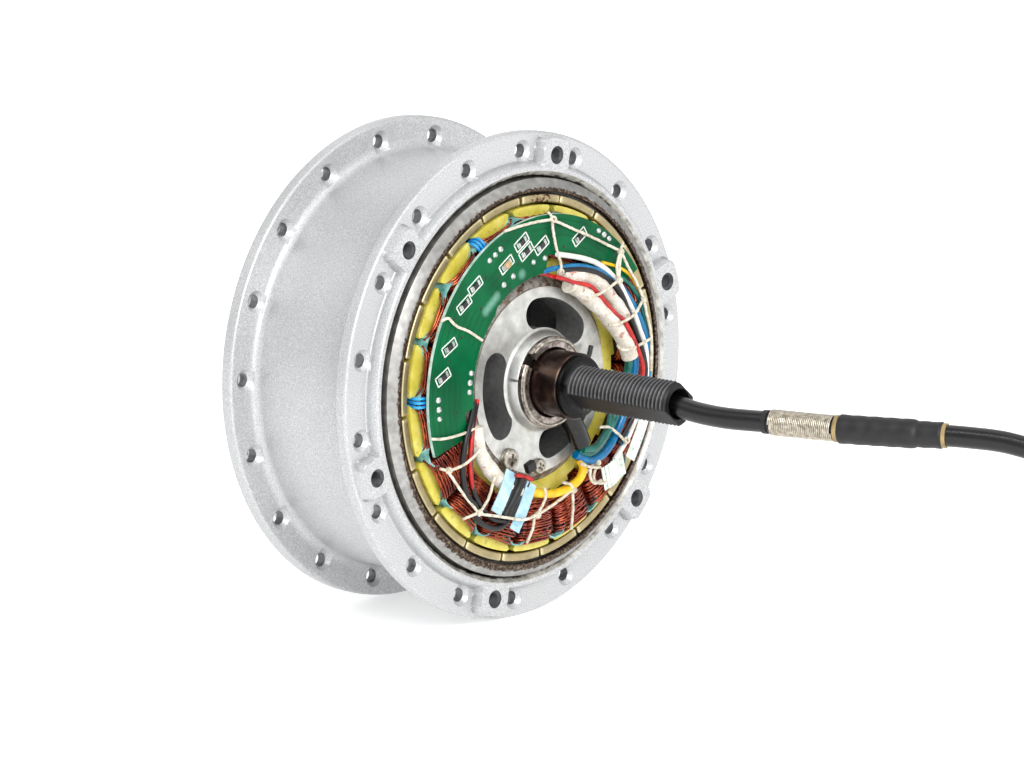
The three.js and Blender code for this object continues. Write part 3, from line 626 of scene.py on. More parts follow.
def face_height(r, turn):
    """Height of the land and the near side's screw bosses."""
    land = land_height(r)
    pitch = TURN / BOSSES
    off = (turn - math.radians(BOSS_ANGLE) + pitch / 2) % pitch - pitch / 2
    base = DRUM_R - 4
    x = np.abs(r * np.cos(off) - (BOSS_R + base) / 2) - (BOSS_R - base) / 2 + BOSS_CORNER
    z = np.abs(r * np.sin(off)) - BOSS_W / 2 + BOSS_CORNER
    outside = np.hypot(np.maximum(x, 0), np.maximum(z, 0)) + np.minimum(np.maximum(x, z), 0) - BOSS_CORNER
    boss = LAND_H * (1 - np.clip((outside + 0.1) / 0.65, 0, 1))
    return np.maximum(land, boss)


def rounded(r, y, radius, start, end, steps=5):
    turns = [math.radians(start + (end - start) * k / steps) for k in range(steps + 1)]
    return [(r + radius * math.cos(a), y + radius * math.sin(a)) for a in turns]


def shell_rows():
    """(radius, y, side) rows round the shell's section; side is 0 where no land or boss stands."""
    inner, edge, foot = FLANGE_OUT - FLANGE_T, FLANGE_R - RIM_ROUND, DRUM_R + DRUM_FILLET
    face = np.arange(SEAT_BORE_R + SEAT_BEVEL, edge - 0.2, 0.3)

    def half(side, first):
        out = [(r, side * FLANGE_OUT, side) for r in first]
        out += [(r, y, 0) for r, y in rounded(edge, side * (FLANGE_OUT - RIM_ROUND), RIM_ROUND, side * 90, 0)]
        out += [(r, y, 0) for r, y in rounded(edge, side * (inner + RIM_ROUND), RIM_ROUND, 0, -side * 90)]
        out += [(r, side * inner, 0) for r in np.arange(edge - 0.8, foot + 0.3, -0.9)]
        fillet = rounded(foot, side * (inner - DRUM_FILLET), DRUM_FILLET, side * 90, side * 180, 10)
        return out + [(r, y, 0) for r, y in fillet]

    far = half(1, [REAR_BORE_R, *face])
    bores = [(REAR_BORE_R, IRON_BACK + 0.4), (RING_BORE_R, IRON_BACK + 0.4), (RING_BORE_R, -SEAT_Y + 3.4),
             (SEAT_BORE_R, -SEAT_Y + 3.0), (SEAT_BORE_R, -SEAT_Y + SEAT_BEVEL)]
    return half(-1, face) + far[::-1] + [(r, y, 0) for r, y in bores]


def spoke_tool(side):
    """Through hole, countersunk on the face turned to the open side and just broken on the other."""
    front, back = [(4.25, 0.9), (3.35, 0.0), (HOLE_R, -1.2)], [(2.95, 0.6), (2.35, 0.0), (HOLE_R, -0.2)]
    out, inn = (front, back) if side < 0 else (back, front)
    profile = [(r, FLANGE_OUT + d) for r, d in out]
    profile += [(r, FLANGE_OUT - FLANGE_T - d) for r, d in reversed(inn)]
    profile = [(0, profile[0][1]), *profile, (0, profile[-1][1])]
    return lathe([(r, side * y) for r, y in profile], 28, closed=False)


def thread_tool():
    """Cover screw hole with thread ridges and a countersunk mouth."""
    profile = [(0, SEAT_Y + 0.6), (3.4, SEAT_Y + 0.6), (2.75, SEAT_Y)]
    for k in range(int((COVER_HOLE_T - 0.6) / THREAD_RIDGE)):
        profile.append((THREAD_CREST_R if k % 2 else THREAD_HOLE_R, SEAT_Y - THREAD_RIDGE - THREAD_RIDGE * k))
    profile.append((0, SEAT_Y - COVER_HOLE_T))
    return lathe([(r, -y) for r, y in profile], 28, closed=False)


def hub_shell():
    rows, columns = shell_rows(), 900
    r, y, side = np.array(rows).T[:, :, None]
    turn = np.arange(columns)[None, :] * TURN / columns
    y = y + side * np.where(side < 0, face_height(r, turn), land_height(r))
    points = np.stack([r * np.cos(turn), y, r * np.sin(turn)], -1).reshape(-1, 3)
    spokes = [at(SPOKE_R, first + k * 360 / SPOKES, sign)
              for sign, first in ((-1, NEAR_SPOKE_ANGLE), (1, FAR_SPOKE_ANGLE)) for k in range(SPOKES)]
    threads = [at(COVER_SCREW_R, BOSS_ANGLE - k * 360 / BOSSES, -1) for k in range(BOSSES)]
    tools = [shifted(spoke_tool(place[1]), place * (1, 0, 1)) for place in spokes]
    tools += [shifted(thread_tool(), place * (1, 0, 1)) for place in threads]
    solid = points, grid_faces(len(rows), columns, wrap_rows=True)
    shell = piece("shell_looks", solid, SILVER, "rotor", ["hub_shell"], sharp=38, cut=join(tools))
    # The hole walls take the darker finishes, painted shade inside the holes.
    line_holes(shell, HOLE, spokes, HOLE_R + 0.1, FLANGE_OUT - FLANGE_T)
    line_holes(shell, THREAD, threads, THREAD_HOLE_R + 0.1, SEAT_Y - COVER_HOLE_T - 0.1)


def line_holes(obj, finish, places, radius, depth):
    """Gives the walls of round holes a finish, as far in as a depth measured from the middle."""
    mesh = obj.data
    mesh.materials.append(finish.material)
    count = len(mesh.polygons)
    centres, index = np.empty(count * 3), np.empty(count, int)
    mesh.polygons.foreach_get("center", centres)
    mesh.polygons.foreach_get("material_index", index)
    centres = centres.reshape(-1, 3) / MM + DATUM
    for x, side, z in places:
        inside = np.hypot(centres[:, 0] - x, centres[:, 2] - z) < radius
        index[inside & (centres[:, 1] * side > depth)] = len(mesh.materials) - 1
    mesh.polygons.foreach_set("material_index", index)


# --------------------------------------------------------------------- rotor
def rotor_ring():
    chamfer = [(57.4, IRON_FRONT), (57.7, IRON_FRONT + 0.12), (IRON_R, -29.6), (IRON_R, IRON_BACK)]
    profile = [(IRON_BORE_R + 0.15, IRON_FRONT), *chamfer, (IRON_BORE_R, IRON_BACK),
               (IRON_BORE_R, IRON_FRONT + 0.15)]
    piece("back_iron_looks", lathe(profile, 300), RUSTY, "rotor", ["rotor_back_iron"])
    glue = [(MAGNET_R[1] - 0.6, CORE_Y[0] + 1.8), (IRON_BORE_R, CORE_Y[0] + 1.5),
            (IRON_BORE_R, CORE_Y[1]), (MAGNET_R[1] - 0.6, CORE_Y[1])]
    piece("magnet_glue", lathe(glue, 240), GLUE_AND_SHADE, "rotor")
    gap = math.degrees(MAGNET_GAP / MAGNET_R[0]) / 2
    for k in range(MAGNETS):
        start = MAGNET_JOINT + k * 360 / MAGNETS
        lean = rng.uniform(-0.12, 0.12)
        outline = sector(*MAGNET_R, start + gap + lean, start + 360 / MAGNETS - gap + lean, 14)
        node = f"magnet_{k + 1:02d}"
        piece(node + "_looks", plate([outline], CORE_Y[0] - rng.uniform(0, 0.25), CORE_Y[1]), MAGNET, "rotor",
              [node], bevel=0.6)


# -------------------------------------------------------------------- stator
def tooth_outline():
    """One tooth and its share of the yoke, middle line along +X, from slot middle to slot middle."""
    half_pitch = 180 / TEETH

    def wall(r):
        return math.degrees(math.asin(TOOTH_W / 2 / r))

    mouth = half_pitch - math.degrees(SLOT_MOUTH / 2 / CORE_R)
    side = [(SLOT_R[0], wall(SLOT_R[0])), (SLOT_R[1] - 1.2, wall(SLOT_R[1])),
            (CORE_R - TIP_T, mouth - 0.7), (CORE_R - 0.6, mouth), (CORE_R, mouth - 0.9)]
    upper = [tuple(at(r, a)[[0, 2]]) for r, a in side]
    lower = [(x, -z) for x, z in upper]
    tip = arc(CORE_R, -mouth + 0.9, mouth - 0.9, 10)[1:-1]
    yoke_top = arc(SLOT_R[0], -wall(SLOT_R[0]) - 0.5, -half_pitch, 2)
    yoke_low = arc(SLOT_R[0], half_pitch, wall(SLOT_R[0]) + 0.5, 2)
    bore = arc(CORE_BORE_R, -half_pitch, half_pitch, 6)
    return [*bore, *yoke_low, *upper, *reversed(tip), *reversed(lower), *yoke_top]


def stator_core():
    """Teeth on a yoke, epoxy coated, with fat rounded edges."""
    outline = []
    for k in range(TEETH):
        one = tooth_outline()[7:]
        turned_one, _ = turned(([(x, 0, z) for x, z in reversed(one)], []), TOOTH_ANGLE + k * 360 / TEETH)
        outline += [(p[0], p[2]) for p in turned_one]
    bore = arc(CORE_BORE_R, 360, 4, 89)
    cleaned = [p for p, q in zip(outline, outline[1:] + outline[:1]) if math.dist(p, q) > 0.05]
    solid = plate([cleaned, bore], CORE_Y[0] - 0.2, CORE_Y[1])
    piece("core_looks", solid, EPOXY, "stator", ["stator_core"], bevel=0.8, sharp=50)


def slot_liners():
    """Folded paper liners that stand a little out of each slot."""
    fold = [(45.5, -3.9), (47.6, -4.1), (49.2, -3.0), (50.0, -1.4), (50.0, 1.4), (49.2, 3.0), (47.6, 4.1),
            (45.5, 3.9)]
    solids = []
    for k in range(TEETH):
        outer = [(r + 0.18, t) for r, t in fold]
        inner = [(r - 0.18, t * 0.9) for r, t in reversed(fold)]
        top = -33.3 - rng.uniform(0, 1.0)
        solids.append(turned(plate([outer + inner], top, -28), TOOTH_ANGLE + (k + 0.5) * 360 / TEETH))
    piece("slot_liners", join(solids), PAPER, "stator", bevel=0.1)


def coil_loop(r, layer):
    """One turn of wire round a tooth whose middle line is +X."""
    half = r * math.tan(math.pi / TEETH) - 0.75 - LAYER_T * layer
    off = r - sum(COIL_R) / 2
    rise = COIL_Y[0] + WIRE_R + LAYER_T * layer + 1.5 * abs(off / 6.4) ** 3 + rng.uniform(-0.12, 0.12)
    back = COIL_Y[1] - WIRE_R - LAYER_T * layer
    flare = 1.7 * max(0.0, off / 6) ** 1.5
    skew, sway, phase = rng.uniform(-0.9, 0.9), rng.uniform(0, 0.3), rng.uniform(0, TURN)
    front = [(t * half, rise + 1.9 * abs(t) ** 4) for t in np.linspace(-1, 1, 11)]
    rear = [(t * half, back - 1.6 * abs(t) ** 4) for t in (1, 0.5, -0.5, -1)]
    path = []
    for z, y in front + [(half, -28.0), (half, 6.0)] + rear + [(-half, 6.0), (-half, -28.0)]:
        drift = skew * z / half * 0.5 + sway * math.sin(phase + 2.2 * z)
        path.append((r + (drift + flare if y < -30 else 0), y, z))
    return tube(path, WIRE_R, 6, closed=True)


def coil_shade_body():
    """Inner turns as one near-black mass: painted shade that shows between the outer turns."""
    outline = []
    for r, sign in ((COIL_R[0] + 0.9, -1), (COIL_R[1] - 0.9, -1), (COIL_R[1] - 0.9, 1), (COIL_R[0] + 0.9, 1)):
        outline.append((r, sign * (r * math.tan(math.pi / TEETH) - 1.5)))
    return plate([outline], COIL_Y[0] + 1.5, COIL_Y[1] - 1.5)


def coils():
    pitch = 360 / TEETH
    across = np.arange(COIL_R[0] + 0.5, COIL_R[1] - 0.2, 0.7)
    phases = ["a1", "b1", "c1", "a2", "b2", "c2"]
    per_group = TEETH // len(phases)
    hearts = []
    for group, phase in enumerate(phases):
        solids = []
        for k in range(per_group):
            angle = TOOTH_ANGLE + (group * per_group + k) * pitch
            loops = [coil_loop(r + rng.uniform(-0.12, 0.12), layer) for layer in (0, 1) for r in across]
            solids += [turned(loop, angle) for loop in loops]
            hearts.append(turned(coil_shade_body(), angle))
        for k in range(per_group - 1):
            middle = TOOTH_ANGLE + (group * per_group + k + 0.5) * pitch
            for r in (37.2, 38.6, 40.4):
                ends = [at(r + rng.uniform(-0.5, 0.5), middle + a, COIL_Y[0] + 0.7) for a in (-7, -3, 3, 7)]
                solids.append(tube(spline(ends), WIRE_R, 6))
        piece(f"coils_{phase}", join(solids), COPPER, "stator", [f"coil_group_{phase}"], sharp=80)
    # the hearts paint the shade in the gaps between the turns
    piece("coil_shade_hearts", join(hearts), HEART_SHADE, "stator")


# -------------------------------------------------------------------- spider
def kidney(angle, grow=0.0):
    middle, end = sum(WINDOW_R) / 2, (WINDOW_R[1] - WINDOW_R[0]) / 2
    trim = math.degrees(end / middle)
    first, last = angle - WINDOW_SPAN / 2 + trim, angle + WINDOW_SPAN / 2 - trim
    end += grow

    def cap(at_angle, start):
        centre = at(middle, at_angle)
        turns = [math.radians(start + k * 15) for k in range(1, 12)]
        return [(centre[0] + end * math.cos(a), centre[2] + end * math.sin(a)) for a in turns]

    outside = arc(middle + end, first, last, 14)
    inside = arc(middle - end, last, first, 14)
    return outside + cap(last, last) + inside + cap(first, first + 180)


def spider():
    """Cast hub that carries the core: a windowed disc with a nose round the axle."""
    rim = arc(SPIDER_R, 360, 3, 119)
    bore = arc(NOSE_R[0] - 1.0, 360, 6, 59)
    disc = plate([rim, bore, *[kidney(a) for a in WINDOW_ANGLES]], SPIDER_Y[0], WEB_BACK)
    piece("spider_disc", disc, ALUMINIUM, "stator", ["stator_spider"], bevel=0.5, sharp=50)
    inside, front = WINDOW_R[1] + 1.2, WEB_BACK - 0.5
    drum = [(inside, front), (SPIDER_R, front), (SPIDER_R, SPIDER_Y[1]), (inside, SPIDER_Y[1])]
    piece("spider_drum", lathe(drum, 120), ALUMINIUM, "stator")
    skirt = [(SPIDER_R - 0.3, SPIDER_Y[0] + 0.7), (SPIDER_R + 0.4, SPIDER_Y[0] + 0.7),
             (SKIRT_R, CORE_Y[0] - 0.5), (SKIRT_R, CORE_Y[0]), (SPIDER_R - 0.3, CORE_Y[0])]
    piece("spider_skirt", lathe(skirt, 160), SKIRT, "stator")
    fillet = [(NOSE_R[0] + 1.3 - 1.3 * math.sin(a), SPIDER_Y[0] - 1.3 + 1.3 * math.cos(a))
              for a in np.radians([15, 35, 55, 75])]
    profile = [(SPIDER_BORE_R, NOSE_FRONT + 0.2), (SPIDER_BORE_R + 0.2, NOSE_FRONT),
               (NOSE_R[1] - 0.3, NOSE_FRONT), (NOSE_R[1], NOSE_FRONT + 0.3), *reversed(fillet),
               (NOSE_R[0] + 0.4, SPIDER_Y[0] + 0.4), (NOSE_R[0] - 0.6, SPIDER_Y[0] + 1),
               (NOSE_R[0] - 0.6, SPIDER_Y[1] - 0.1), (SPIDER_BORE_R, SPIDER_Y[1] - 0.1)]
    slit = block(at(NOSE_R[1] + 0.4, 171.5, NOSE_FRONT), (3.2, 5.0, 0.75), 171.5)
    piece("spider_nose", lathe(profile, 120), ALUMINIUM, "stator", cut=slit)


def retaining_ring():
    profile = [(SEAT_R + 0.5, RING_Y[0] + 0.2), (SEAT_R + 0.7, RING_Y[0]), (NOSE_R[1] - 0.6, RING_Y[0]),
               (NOSE_R[1] - 0.3, RING_Y[0] + 0.3), (NOSE_R[1] - 0.3, RING_Y[1]), (SEAT_R + 0.5, RING_Y[1])]
    notch = plate([sector(9, 15, 134, 150, 4)], RING_Y[0] - 1, RING_Y[1] + 1)
    piece("ring_looks", lathe(profile, 120), BROWN_RING, "stator", ["retaining_ring"], cut=notch)
    # Painted shade: a near-black plate at the bottom of the ring's gap.
    gap = plate([sector(SEAT_R + 0.6, NOSE_R[1] - 0.4, 133, 151, 6)], RING_Y[1] - 0.1, NOSE_FRONT + 0.3)
    piece("ring_gap", gap, GLUE_AND_SHADE, "stator")
    wire = tube([at(12.9, a, RING_Y[0] - 0.05) for a in range(150, 492, 4)], 0.45, 8)
    piece("ring_wire", wire, STEEL, "stator")


def cross_screw(name, angle, head, height):
    """Pan head with a cross recess."""
    front = SPIDER_Y[0] - 0.15
    profile = [(0, front - height), (head * 0.72, front - height), (head * 0.88, front - height * 0.9),
               (head * 0.97, front - height * 0.65), (head, front - height * 0.15), (head, front),
               (0, front)]
    centre = at(SCREW_R, angle)
    slots = []
    for turn, depth, width in ((angle + 20, 1.1, 0.26), (angle + 110, 1.0, 0.27)):
        slot = block((0, front - height, 0), (head * 1.1, height * depth, head * width), turn)
        slots.append(shifted(slot, centre))
    pan = shifted(lathe(profile, 36, closed=False), centre)
    piece(name + "_looks", pan, STEEL, "stator", [name], cut=join(slots))


# ---------------------------------------------------------------------- axle
def axle_radius(y, turn):
    """Outside of the axle at a height and an angle, with the thread's helix and the two flats."""
    def thread(depth):
        wave = np.abs(((y / THREAD_PITCH - turn / TURN) % 1) - 0.5) * 2
        return THREAD_R - depth * np.clip(wave * 1.25 - 0.12, 0, 1)

    flat = FLAT_HALF / np.maximum(np.abs(np.cos(turn - math.radians(FLAT_ANGLE))), 1e-3)
    if y <= NEAR_THREAD or y >= REAR_THREAD:
        end = min(y - NEAR_END, REAR_END - y)
        run_out = min(abs(y - NEAR_THREAD), abs(y - REAR_THREAD))
        body = thread(THREAD_DEPTH * min(1, run_out / 0.6, end / 0.6 + 0.2))
        return np.minimum(np.minimum(body, THREAD_R - 0.7 + end), flat)
    sections = [(NEAR_THREAD, THREAD_R), (NEAR_COLLAR, COLLAR_R), (NEAR_SEAT[0], COLLAR_R),
                (NEAR_SEAT[0] + 0.01, SEAT_R - 0.3), (NEAR_SEAT[0] + 0.3, SEAT_R), (SHOULDER_Y, SEAT_R),
                (SHOULDER_Y + 1, SHOULDER_R), (REAR_SEAT[0], SHOULDER_R), (REAR_SEAT[0] + 0.01, SEAT_R),
                (REAR_SEAT[1], SEAT_R), (REAR_SEAT[1] + 0.01, COLLAR_R), (REAR_COLLAR, COLLAR_R),
                (REAR_THREAD, THREAD_R)]
    heights, radii = zip(*sections)
    return np.full_like(turn, np.interp(y, heights, radii))


def axle():
    flat_edge = math.degrees(math.acos(FLAT_HALF / THREAD_R))
    corners = [FLAT_ANGLE + half + sign * flat_edge for half in (0, 180) for sign in (-1, 1)]
    turn = np.radians(np.sort(np.concatenate([np.arange(0, 360, 3.0), np.array(corners) % 360])))
    fine = THREAD_PITCH / 12
    steps = [NEAR_SEAT[0], NEAR_SEAT[0] + 0.01, NEAR_SEAT[0] + 0.3, NEAR_COLLAR, SHOULDER_Y, SHOULDER_Y + 1,
             REAR_SEAT[0], REAR_SEAT[0] + 0.01, REAR_SEAT[1], REAR_SEAT[1] + 0.01, REAR_COLLAR]
    heights = np.sort(np.concatenate([np.arange(NEAR_END, NEAR_THREAD + 0.01, fine), steps,
                                      np.arange(REAR_THREAD, REAR_END + 0.01, fine)]))
    rows = [(y, axle_radius(y, turn)) for y in heights]
    rows.append((REAR_END, np.full_like(turn, 0.0)))
    bore = [(-56.0, 0.0), (-56.0, CABLE_BORE_R), (NEAR_END + 2.0, CABLE_BORE_R),
            (NEAR_END, CABLE_BORE_R + 0.9)]
    rows = [(y, np.full_like(turn, r)) for y, r in bore] + rows
    solid = loft(rows, turn)
    punch = [(0, -PUNCH_R), (PUNCH_R, -PUNCH_R), (PUNCH_R, PUNCH_R), (0, PUNCH_R)]
    points, faces = lathe(punch, 16, closed=False)
    mark = points[:, [0, 2, 1]] + at(SEAT_R, *PUNCH_AT), faces
    piece("axle_looks", solid, AXLE, "stator", ["axle"], sharp=40, cut=mark)


# ------------------------------------------------------------------ rear end
def rear_cover():
    """Dished disc with a bearing housing and six countersunk screw holes."""
    spigot = REAR_BORE_R - 0.5
    profile = [(LAND_R - 0.2, COVER_Y), *rounded(LAND_R - 1.2, COVER_Y + COVER_T - 1.0, 1.0, 0, 90),
               (54.0, COVER_Y + COVER_T), (53.0, COVER_Y + COVER_T - 0.5),
               (36.0, COVER_Y + COVER_T + 0.3), (31.0, COVER_Y + COVER_T + 1.4),
               (27.5, COVER_Y + COVER_T + 3.6), (HOUSING_R, HOUSING_END - 1.6),
               (HOUSING_R - 0.5, HOUSING_END - 0.4), (HOUSING_R - 1.4, HOUSING_END), (18.4, HOUSING_END),
               (18.0, HOUSING_END - 0.4), (18.0, BEARING_Y[1] + 0.4),
               (BEARING_R + 0.35, BEARING_Y[1] + 0.4), (BEARING_R + 0.35, BEARING_Y[0] - 0.4),
               (HOUSING_R - 0.4, BEARING_Y[0] - 0.4), (27.0, COVER_Y + 1), (53.5, COVER_Y),
               (53.5, COVER_Y - 4), (spigot, COVER_Y - 4), (spigot, COVER_Y)]
    top = COVER_Y + COVER_T
    mouth = REAR_HEAD_R + 0.3
    sink = lathe([(0, top - 5), (1.8, top - 5), (1.8, top - REAR_SINK), (mouth, top), (mouth, top + 1),
                  (0, top + 1)], 28, closed=False)
    sinks = join([shifted(sink, place) for place in rear_screw_places()])
    piece("rear_cover_looks", lathe(profile, 240), SILVER, "rotor", ["rear_cover"], sharp=30, cut=sinks)


def rear_screw_places():
    return [at(REAR_SCREW_AT_R, BOSS_ANGLE - k * 360 / REAR_SCREWS) for k in range(REAR_SCREWS)]


def rear_screws():
    """Countersunk heads with hexagon sockets, flush with the cover."""
    top = COVER_Y + COVER_T - 0.1
    turn = np.arange(48) * TURN / 48
    hexagon = 1.1 / np.cos((turn + math.pi / 6) % (math.pi / 3) - math.pi / 6)
    circle = np.ones(48)
    rows = [(top - 1.1, hexagon * 0), (top - 1.1, hexagon), (top - 0.05, hexagon), (top, hexagon * 1.06),
            (top, circle * (REAR_HEAD_R - 0.2)), (top - 0.2, circle * REAR_HEAD_R),
            (top - REAR_SINK, circle * REAR_SHANK_R), (SEAT_Y - 8, circle * REAR_SHANK_R),
            (SEAT_Y - 8, circle * 0)]
    screw = loft(rows, turn)
    for k, place in enumerate(rear_screw_places()):
        name = f"rear_cover_screw_{k + 1}"
        piece(name + "_looks", shifted(screw, place), STEEL, "rotor", [name], sharp=30)


def rear_seal():
    """Double-lipped shaft seal in the housing's mouth."""
    inner, outer, y0, y1 = COLLAR_R + 0.3, 17.6, 36.5, 38.8
    profile = [(inner, y0 + 0.6), (inner + 0.8, y1 - 0.2), (inner + 1.8, y1), (inner + 2.6, y1 - 0.7),
               (14.4, y1 - 0.9), (15.2, y1 - 0.1), (outer - 0.3, y1), (outer, y1 - 0.3), (outer, y0),
               (inner + 1.2, y0)]
    piece("seal_looks", lathe(profile, 96), RUBBER, "rotor", ["rear_axle_seal"], sharp=50)


def hidden_bearing():
    """The bearing behind the seal keeps its own shape and takes a steel finish."""
    for node in ("rear_bearing_outer_ring", "rear_bearing_inner_ring", "rear_bearing_ball_cage"):
        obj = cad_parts[node]
        obj.data.materials.clear()
        obj.data.materials.append(STEEL.material)


# -------------------------------------------------------------- sensor board
def board_outline():
    start, end = BOARD_SPAN
    return [*arc(BOARD_R, start, end, 80), *arc(35.2, 200, 188, 6), *arc(31.4, 187, 134, 24),
            *arc(32.6, 130, 90, 18), *arc(38.0, 88, start + 1, 24)]


def on_board(x, z, lift=0.0):
    return (x, FACE - lift, z)


# middle of each pair of pads with its part, and the angle it lies at
CHIPS = [(-10.5, 43.2, 33), (-8.5, 40.2, 33), (-1.8, 41.2, 33), (15.0, 41.8, 33), (-30.5, 32.6, 33),
         (-35.2, 27.6, 33), (-41.5, 15.8, 28), (-44.2, 7.2, 28)]
CAPACITOR = (-17.0, 37.3, 33)
PRINT_SIZE = (6.1, 2.9, 0.4)  # length, width and line of the rectangle printed round a part
JOINTS = [(-19.6, 42.2), (-22.0, 40.8), (-24.4, 39.4), (23.4, 42.6), (25.8, 41.1), (28.0, 39.6),
          (-46.3, 0.7), (-46.1, -2.2), (-45.9, -5.0), (-32.3, 6.8), (-32.8, 4.0), (-33.1, 1.2),
          (-18.2, 31.4), (-14.2, 33.5), (-5.4, 36.6), (-0.4, 37.2)]
VIAS = [(-26.0, 34.4), (-28.0, 25.6), (-41.8, 11.6), (-39.5, 24.0), (8.0, 39.6), (-12.0, 37.0),
        (-15.5, 29.6), (-38.6, -4.2), (-36.5, 18.0), (-20.5, 34.0), (3.0, 46.6), (31.0, 35.0)]


def frame_line(x, z, angle, length, width, line):
    """Thin printed rectangle round a part."""
    sides = []
    for u, v, su, sv in ((0, width / 2, length, line), (0, -width / 2, length, line),
                         (length / 2, 0, line, width), (-length / 2, 0, line, width)):
        a = math.radians(angle)
        centre = on_board(x + u * math.cos(a) - v * math.sin(a), z + u * math.sin(a) + v * math.cos(a), 0.02)
        sides.append(block(centre, (su, 0.05, sv), angle))
    return join(sides)


def board():
    sheet = plate([board_outline()], FACE, FACE + BOARD_T)
    piece("board_looks", sheet, BOARD, "stator", ["sensor_board"], bevel=0.12)
    inks, pads, chips = [], [], []
    for x, z, angle in CHIPS + [CAPACITOR]:
        a = math.radians(angle)
        along = np.array([math.cos(a), 0, math.sin(a)])
        inks.append(frame_line(x, z, angle, *PRINT_SIZE))
        middle = np.array(on_board(x, z))
        for side in (-1.75, 1.75):
            pads.append(block(middle + along * side - (0, 0.1, 0), (1.0, 0.25, 1.7), angle))
        pads.append(block(middle - (0, 0.28, 0), (3.1, 0.5, 1.55), angle))
        if (x, z, angle) != CAPACITOR:
            chips.append(block(middle - (0, 0.34, 0), (2.1, 0.55, 1.6), angle))
    piece("board_print", join(inks), INK, "stator")
    piece("board_pads", join(pads), SOLDER, "stator", bevel=0.12)
    piece("board_chips", join(chips), CHIP, "stator", bevel=0.08)
    x, z, angle = CAPACITOR
    capacitor = block(on_board(x, z, 0.55), (2.2, 1.0, 1.75), angle)
    piece("board_capacitor", capacitor, TAN_CHIP, "stator", bevel=0.15)
    blobs = [dome(on_board(x, z, -0.05), 0.95 + rng.uniform(-0.08, 0.1), 0.75) for x, z in JOINTS]
    piece("board_joints", join(blobs), SOLDER, "stator", sharp=60)
    via = lathe([(0, -0.02), (0.5, -0.02), (0.55, 0.05)], 14, closed=False)
    piece("board_vias", join([shifted(via, on_board(x, z)) for x, z in VIAS]), VIA, "stator", sharp=60)


# -------------------------------------------------------------------- wiring
def wire(name, points, radius, colour, stands_for=(), sides=14):
    """An insulated lead that rides on the stator."""
    return piece(name, tube(spline(points), radius, sides), WIRES[colour], "stator", stands_for, sharp=60)


SIGHT_X, SIGHT_Z, SIGHT_Y = 1.0735, -0.2808, -39.0  # slope of the camera's line of sight


def laid(points, depth):
    """Lays points (x, z), as seen from the camera against the plane y = -39, at one depth or one each."""
    depths = np.broadcast_to(depth, len(points))
    seen = zip(points, depths)
    return [(x + SIGHT_X * (y - SIGHT_Y), y, z + SIGHT_Z * (y - SIGHT_Y)) for (x, z), y in seen]


def phase_leads():
    green = [(12.6, -39, -22.4), (16.6, -39.2, -24.2), (21.2, -39, -23), (25.2, -38.7, -20),
             (29.4, -38.4, -15.4), (33.4, -38.2, -8), (35.9, -38.2, -0.5), (35.9, -38.6, 4.5)]
    over = [(13, -40.4, -22.2), (18, -40.6, -22.6), (22, -40.2, -20.6), (25.6, -39.8, -17.4),
            (28, -38.6, -14)]
    blue = [(11.6, -38.7, -24), (16, -38.9, -26.2), (20.8, -38.9, -26.6), (25.4, -38.7, -24.8),
            (29.6, -38.4, -21), (33.2, -38.2, -16), (37, -38.2, -7.6), (38.9, -38.2, 0),
            (38.4, -38.6, 4.5)]
    yellow = [(13.2, -38.5, -25.4), (15.5, -38.3, -28.6), (14.2, -38.1, -31.8), (10, -37.9, -33.8),
              (4, -37.8, -34.7), (-1.5, -37.8, -34.1), (-7.6, -37.9, -32.6)]
    wire("lead_green", green, 1.3, "green", ["phase_lead_green"])
    wire("lead_green_over", over, 1.2, "green")
    wire("lead_blue", blue, 1.3, "blue", ["phase_lead_blue"])
    wire("lead_yellow", yellow, 1.3, "yellow", ["phase_lead_yellow"])


def sleeve(name, points, radius, stands_for=()):
    path = spline(points)
    along = np.arange(len(path))
    swell = radius + 0.14 * np.sin(along * 0.35) + 0.08 * np.sin(along * 0.9 + 1)
    piece(name, tube(path, swell, 20), SLEEVE, "stator", stands_for, sharp=60)


def sleeves():
    """Two woven sleeves side by side over the phase joints, and a third along the spider's edge."""
    inner = [(35.8, 2.6), (34, 6.6), (31.6, 9.8), (29, 12.9), (25.6, 16.3), (21.8, 19.6), (17.5, 22.9),
             (13, 26), (8, 28.4)]
    outer = [(33.2, 15.6), (31, 18.2), (27.5, 22), (23, 26), (18, 29), (12, 30.6), (5, 31.9)]
    lower = [(-30.6, -9.5), (-29.8, -15), (-26.6, -20.5), (-22.4, -25.2), (-17.4, -29.2), (-12, -32)]
    sleeve("sleeve_looks", laid(inner, -39.2), 2.5, ["phase_lead_sleeve"])
    sleeve("sleeve_outer", laid(outer, -38.2), 2.0)
    sleeve("sleeve_lower", [(x, -37.2, z) for x, z in lower], 2.3)


